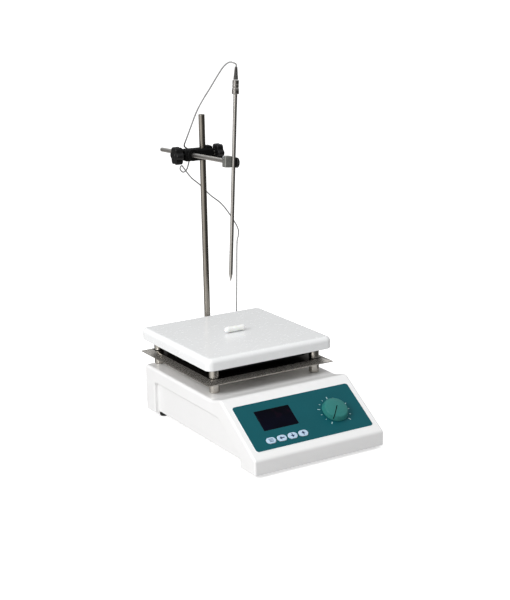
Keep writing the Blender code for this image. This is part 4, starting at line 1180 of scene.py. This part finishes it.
by_boss, by_arm, by_clamp = split(smooth_path(UPPER_PATH)[::-1], (410, 438))
for name, path, a, b in (("cable_boss_arm", by_boss, "boss", "arm"),
                         ("cable_arm_clamp", by_arm, "arm", "clamp")):
    cable(name, path, a, "probe_cable_upper",
          (0, 0, 1))
cable("cable_clamp_probe", by_clamp, "clamp",
      "probe_cable_upper")
by_base, by_rod = split(smooth_path(LOWER_PATH)[::-1], (236,))
cable("cable_base_rod", by_base, "base",
      "probe_cable_lower")
cable("cable_rod_boss", by_rod, "rod",
      "probe_cable_lower")

# ---------------------------------------------------------------- materials of the CAD nodes
BY_NODE = {
    "bottom_cover": ZINC, "display_module": BEZEL, "control_board": BOARD,
    "speed_encoder": ZINC, "encoder_shaft": ZINC, "drive_motor": ZINC, "motor_bracket": ZINC,
    "motor_shaft": STEEL, "magnet_hub": ZINC, "magnet_left": MAGNET, "magnet_right": MAGNET,
    "power_board": BOARD, "heating_element": ELEMENT, "insulation_pad": MICA,
    "heater_cover": DULL_BLACK, "plate_sensor": BRASS,
}
BY_SLOT = {
    "white_enamel": ENAMEL, "white_ceramic": CERAMIC, "teal_overlay": TEAL,
    "teal_knob": TEAL_KNOB, "black_window": GLASS, "pale_key": KEY, "steel": STEEL,
    "shield_steel": SHIELD, "zinc_plate": ZINC, "black_plastic": BLACK, "grey_alloy": ALLOY,
    "black_rubber": RUBBER, "green_board": BOARD, "brass": BRASS, "magnet": MAGNET,
    "insulation": MICA, "white_ptfe": PTFE, "grey_cable": SHEATH,
}
slots = {s["node"]: s["material_slot"] for s in frame["record"].get("subparts", [])}
for name, ob in frame["nodes"].items():
    ob.data.materials.clear()
    ob.data.materials.append(BY_NODE.get(name) or BY_SLOT[slots.get(name, "steel")])
    ob.data.shade_smooth()
    ob.data.set_sharp_from_angle(angle=math.radians(35))


# ---------------------------------------------------------------- floor
def floor_material():
    """Matt floor, paler and faintly glowing only as the camera sees it directly."""
    material = bpy.data.materials.new("studio_floor")
    material.use_nodes = True
    tree = material.node_tree
    seen = add_node(tree, "LightPath").outputs["Is Camera Ray"]
    set_inputs(tree, tree.nodes["Principled BSDF"], {
        "Base Color": mix_color(tree, seen, (0.62, 0.62, 0.62, 1), (0.93, 0.93, 0.93, 1)),
        "Roughness": 0.9,
        "Specular IOR Level": 0.05,
        "Emission Color": (1, 1, 1, 1),
        "Emission Strength": math_node(tree, "MULTIPLY", seen, 0.50)})
    return material


bm = bmesh.new()
bmesh.ops.create_grid(bm, x_segments=2, y_segments=2, size=60.0)
floor = to_object("floor", bm)
floor.data.materials.append(floor_material())
floor.location = (0, 0, -0.0002)
floor.visible_glossy = False

# ---------------------------------------------------------------- world
# Azimuth bands seen in polished metal, as (degrees from +X towards +Y, brightness):
# bright at the left, dark at the right and behind.
BANDS = [(-180, 0.85), (-150, 0.95), (-128, 0.60), (-112, 0.22), (-95, 0.10), (-60, 0.045),
         (-20, 0.06), (10, 0.30), (40, 0.20), (75, 0.06), (110, 0.10), (135, 0.35),
         (160, 0.70), (180, 0.85)]


def band_color(tree, direction):
    azimuth = math_node(tree, "ARCTAN2", direction["Y"], direction["X"])
    position = map_range(tree, azimuth, (-math.pi, math.pi))
    ramp = add_node(tree, "ValToRGB", {"Fac": position})
    stops = ramp.color_ramp.elements
    for stop, place, (_, v) in ((stops[0], 0.0, BANDS[0]), (stops[1], 1.0, BANDS[-1])):
        stop.position = place
        stop.color = (v, v, v, 1)
    for degrees, v in BANDS[1:-1]:
        stops.new((degrees + 180) / 360.0).color = (v * 1.0, v * 0.985, v * 0.955, 1)
    return ramp.outputs["Color"]


def build_world():
    """Plain white for all rays but glossy ones, which see the bands."""
    world = bpy.data.worlds.new("studio")
    bpy.context.scene.world = world
    world.use_nodes = True
    tree = world.node_tree
    tree.nodes.clear()
    rays = add_node(tree, "LightPath").outputs
    # strength 0.70, raised by 0.35 for camera rays
    strength = math_node(tree, "MULTIPLY_ADD", rays["Is Camera Ray"], 0.35, 0.70)
    plain = add_node(tree, "Background", {"Color": (1, 1, 1, 1), "Strength": strength})

    coords = add_node(tree, "TexCoord").outputs["Generated"]
    direction = add_node(tree, "SeparateXYZ", {0: coords}).outputs
    color = band_color(tree, direction)
    # a bright ceiling above the bands and the pale bench below them
    for heights, shade in (((0.25, 0.65), (0.80, 0.82, 0.84, 1)),
                           ((-0.34, -0.75), (0.72, 0.70, 0.68, 1))):
        color = mix_color(tree, map_range(tree, direction["Z"], heights), color, shade)
    banded = add_node(tree, "Background", {"Color": color, "Strength": 1.15})
    mix = add_node(tree, "MixShader", {
        "Fac": rays["Is Glossy Ray"], 1: plain.outputs[0], 2: banded.outputs[0]})
    add_node(tree, "OutputWorld", {0: mix.outputs[0]})


build_world()


# ---------------------------------------------------------------- lights and camera, in metres
def area_light(name, location, target, size, power, color, glossy=True):
    light = bpy.data.lights.new(name, "AREA")
    light.shape = "RECTANGLE"
    light.size, light.size_y = size
    light.energy = power
    light.color = color
    ob = bpy.data.objects.new(name, light)
    bpy.context.scene.collection.objects.link(ob)
    ob.location = location
    aim = Vector(target) - Vector(location)
    ob.rotation_euler = aim.to_track_quat("-Z", "Y").to_euler()
    ob.visible_glossy = glossy


area_light("key_left", location=(-2.2, -0.5, 1.5), target=(0, 0, 0.12), size=(1.1, 1.1),
           power=47, color=(1.0, 0.99, 0.985))
area_light("soft_top", location=(0.2, 0.3, 2.6), target=(0, 0, 0.1), size=(2.0, 2.0),
           power=8, color=(0.96, 0.985, 1.0), glossy=False)

CAMERA_AT = (-0.862654, -1.494173, 0.618040)
CAMERA_RIGHT = Vector((0.8550511, -0.5181857, -0.0192672))
CAMERA_UP = Vector((0.1476064, 0.2076078, 0.9670115))
CAMERA_FORWARD = Vector((0.4970915, 0.8296883, -0.2540028))
camera_data = bpy.data.cameras.new("camera")
camera = bpy.data.objects.new("camera", camera_data)
bpy.context.scene.collection.objects.link(camera)
axes = Matrix((CAMERA_RIGHT, CAMERA_UP, -CAMERA_FORWARD)).transposed()
camera.matrix_world = shift(*CAMERA_AT) @ axes.to_4x4()
camera_data.sensor_fit = "AUTO"
camera_data.sensor_width = 36.0
camera_data.lens = 79.812
camera_data.clip_end = 200
bpy.context.scene.camera = camera
view = bpy.context.scene.view_settings
view.view_transform = "Standard"
view.look = "None"
view.exposure = 0.0
view.gamma = 1.0
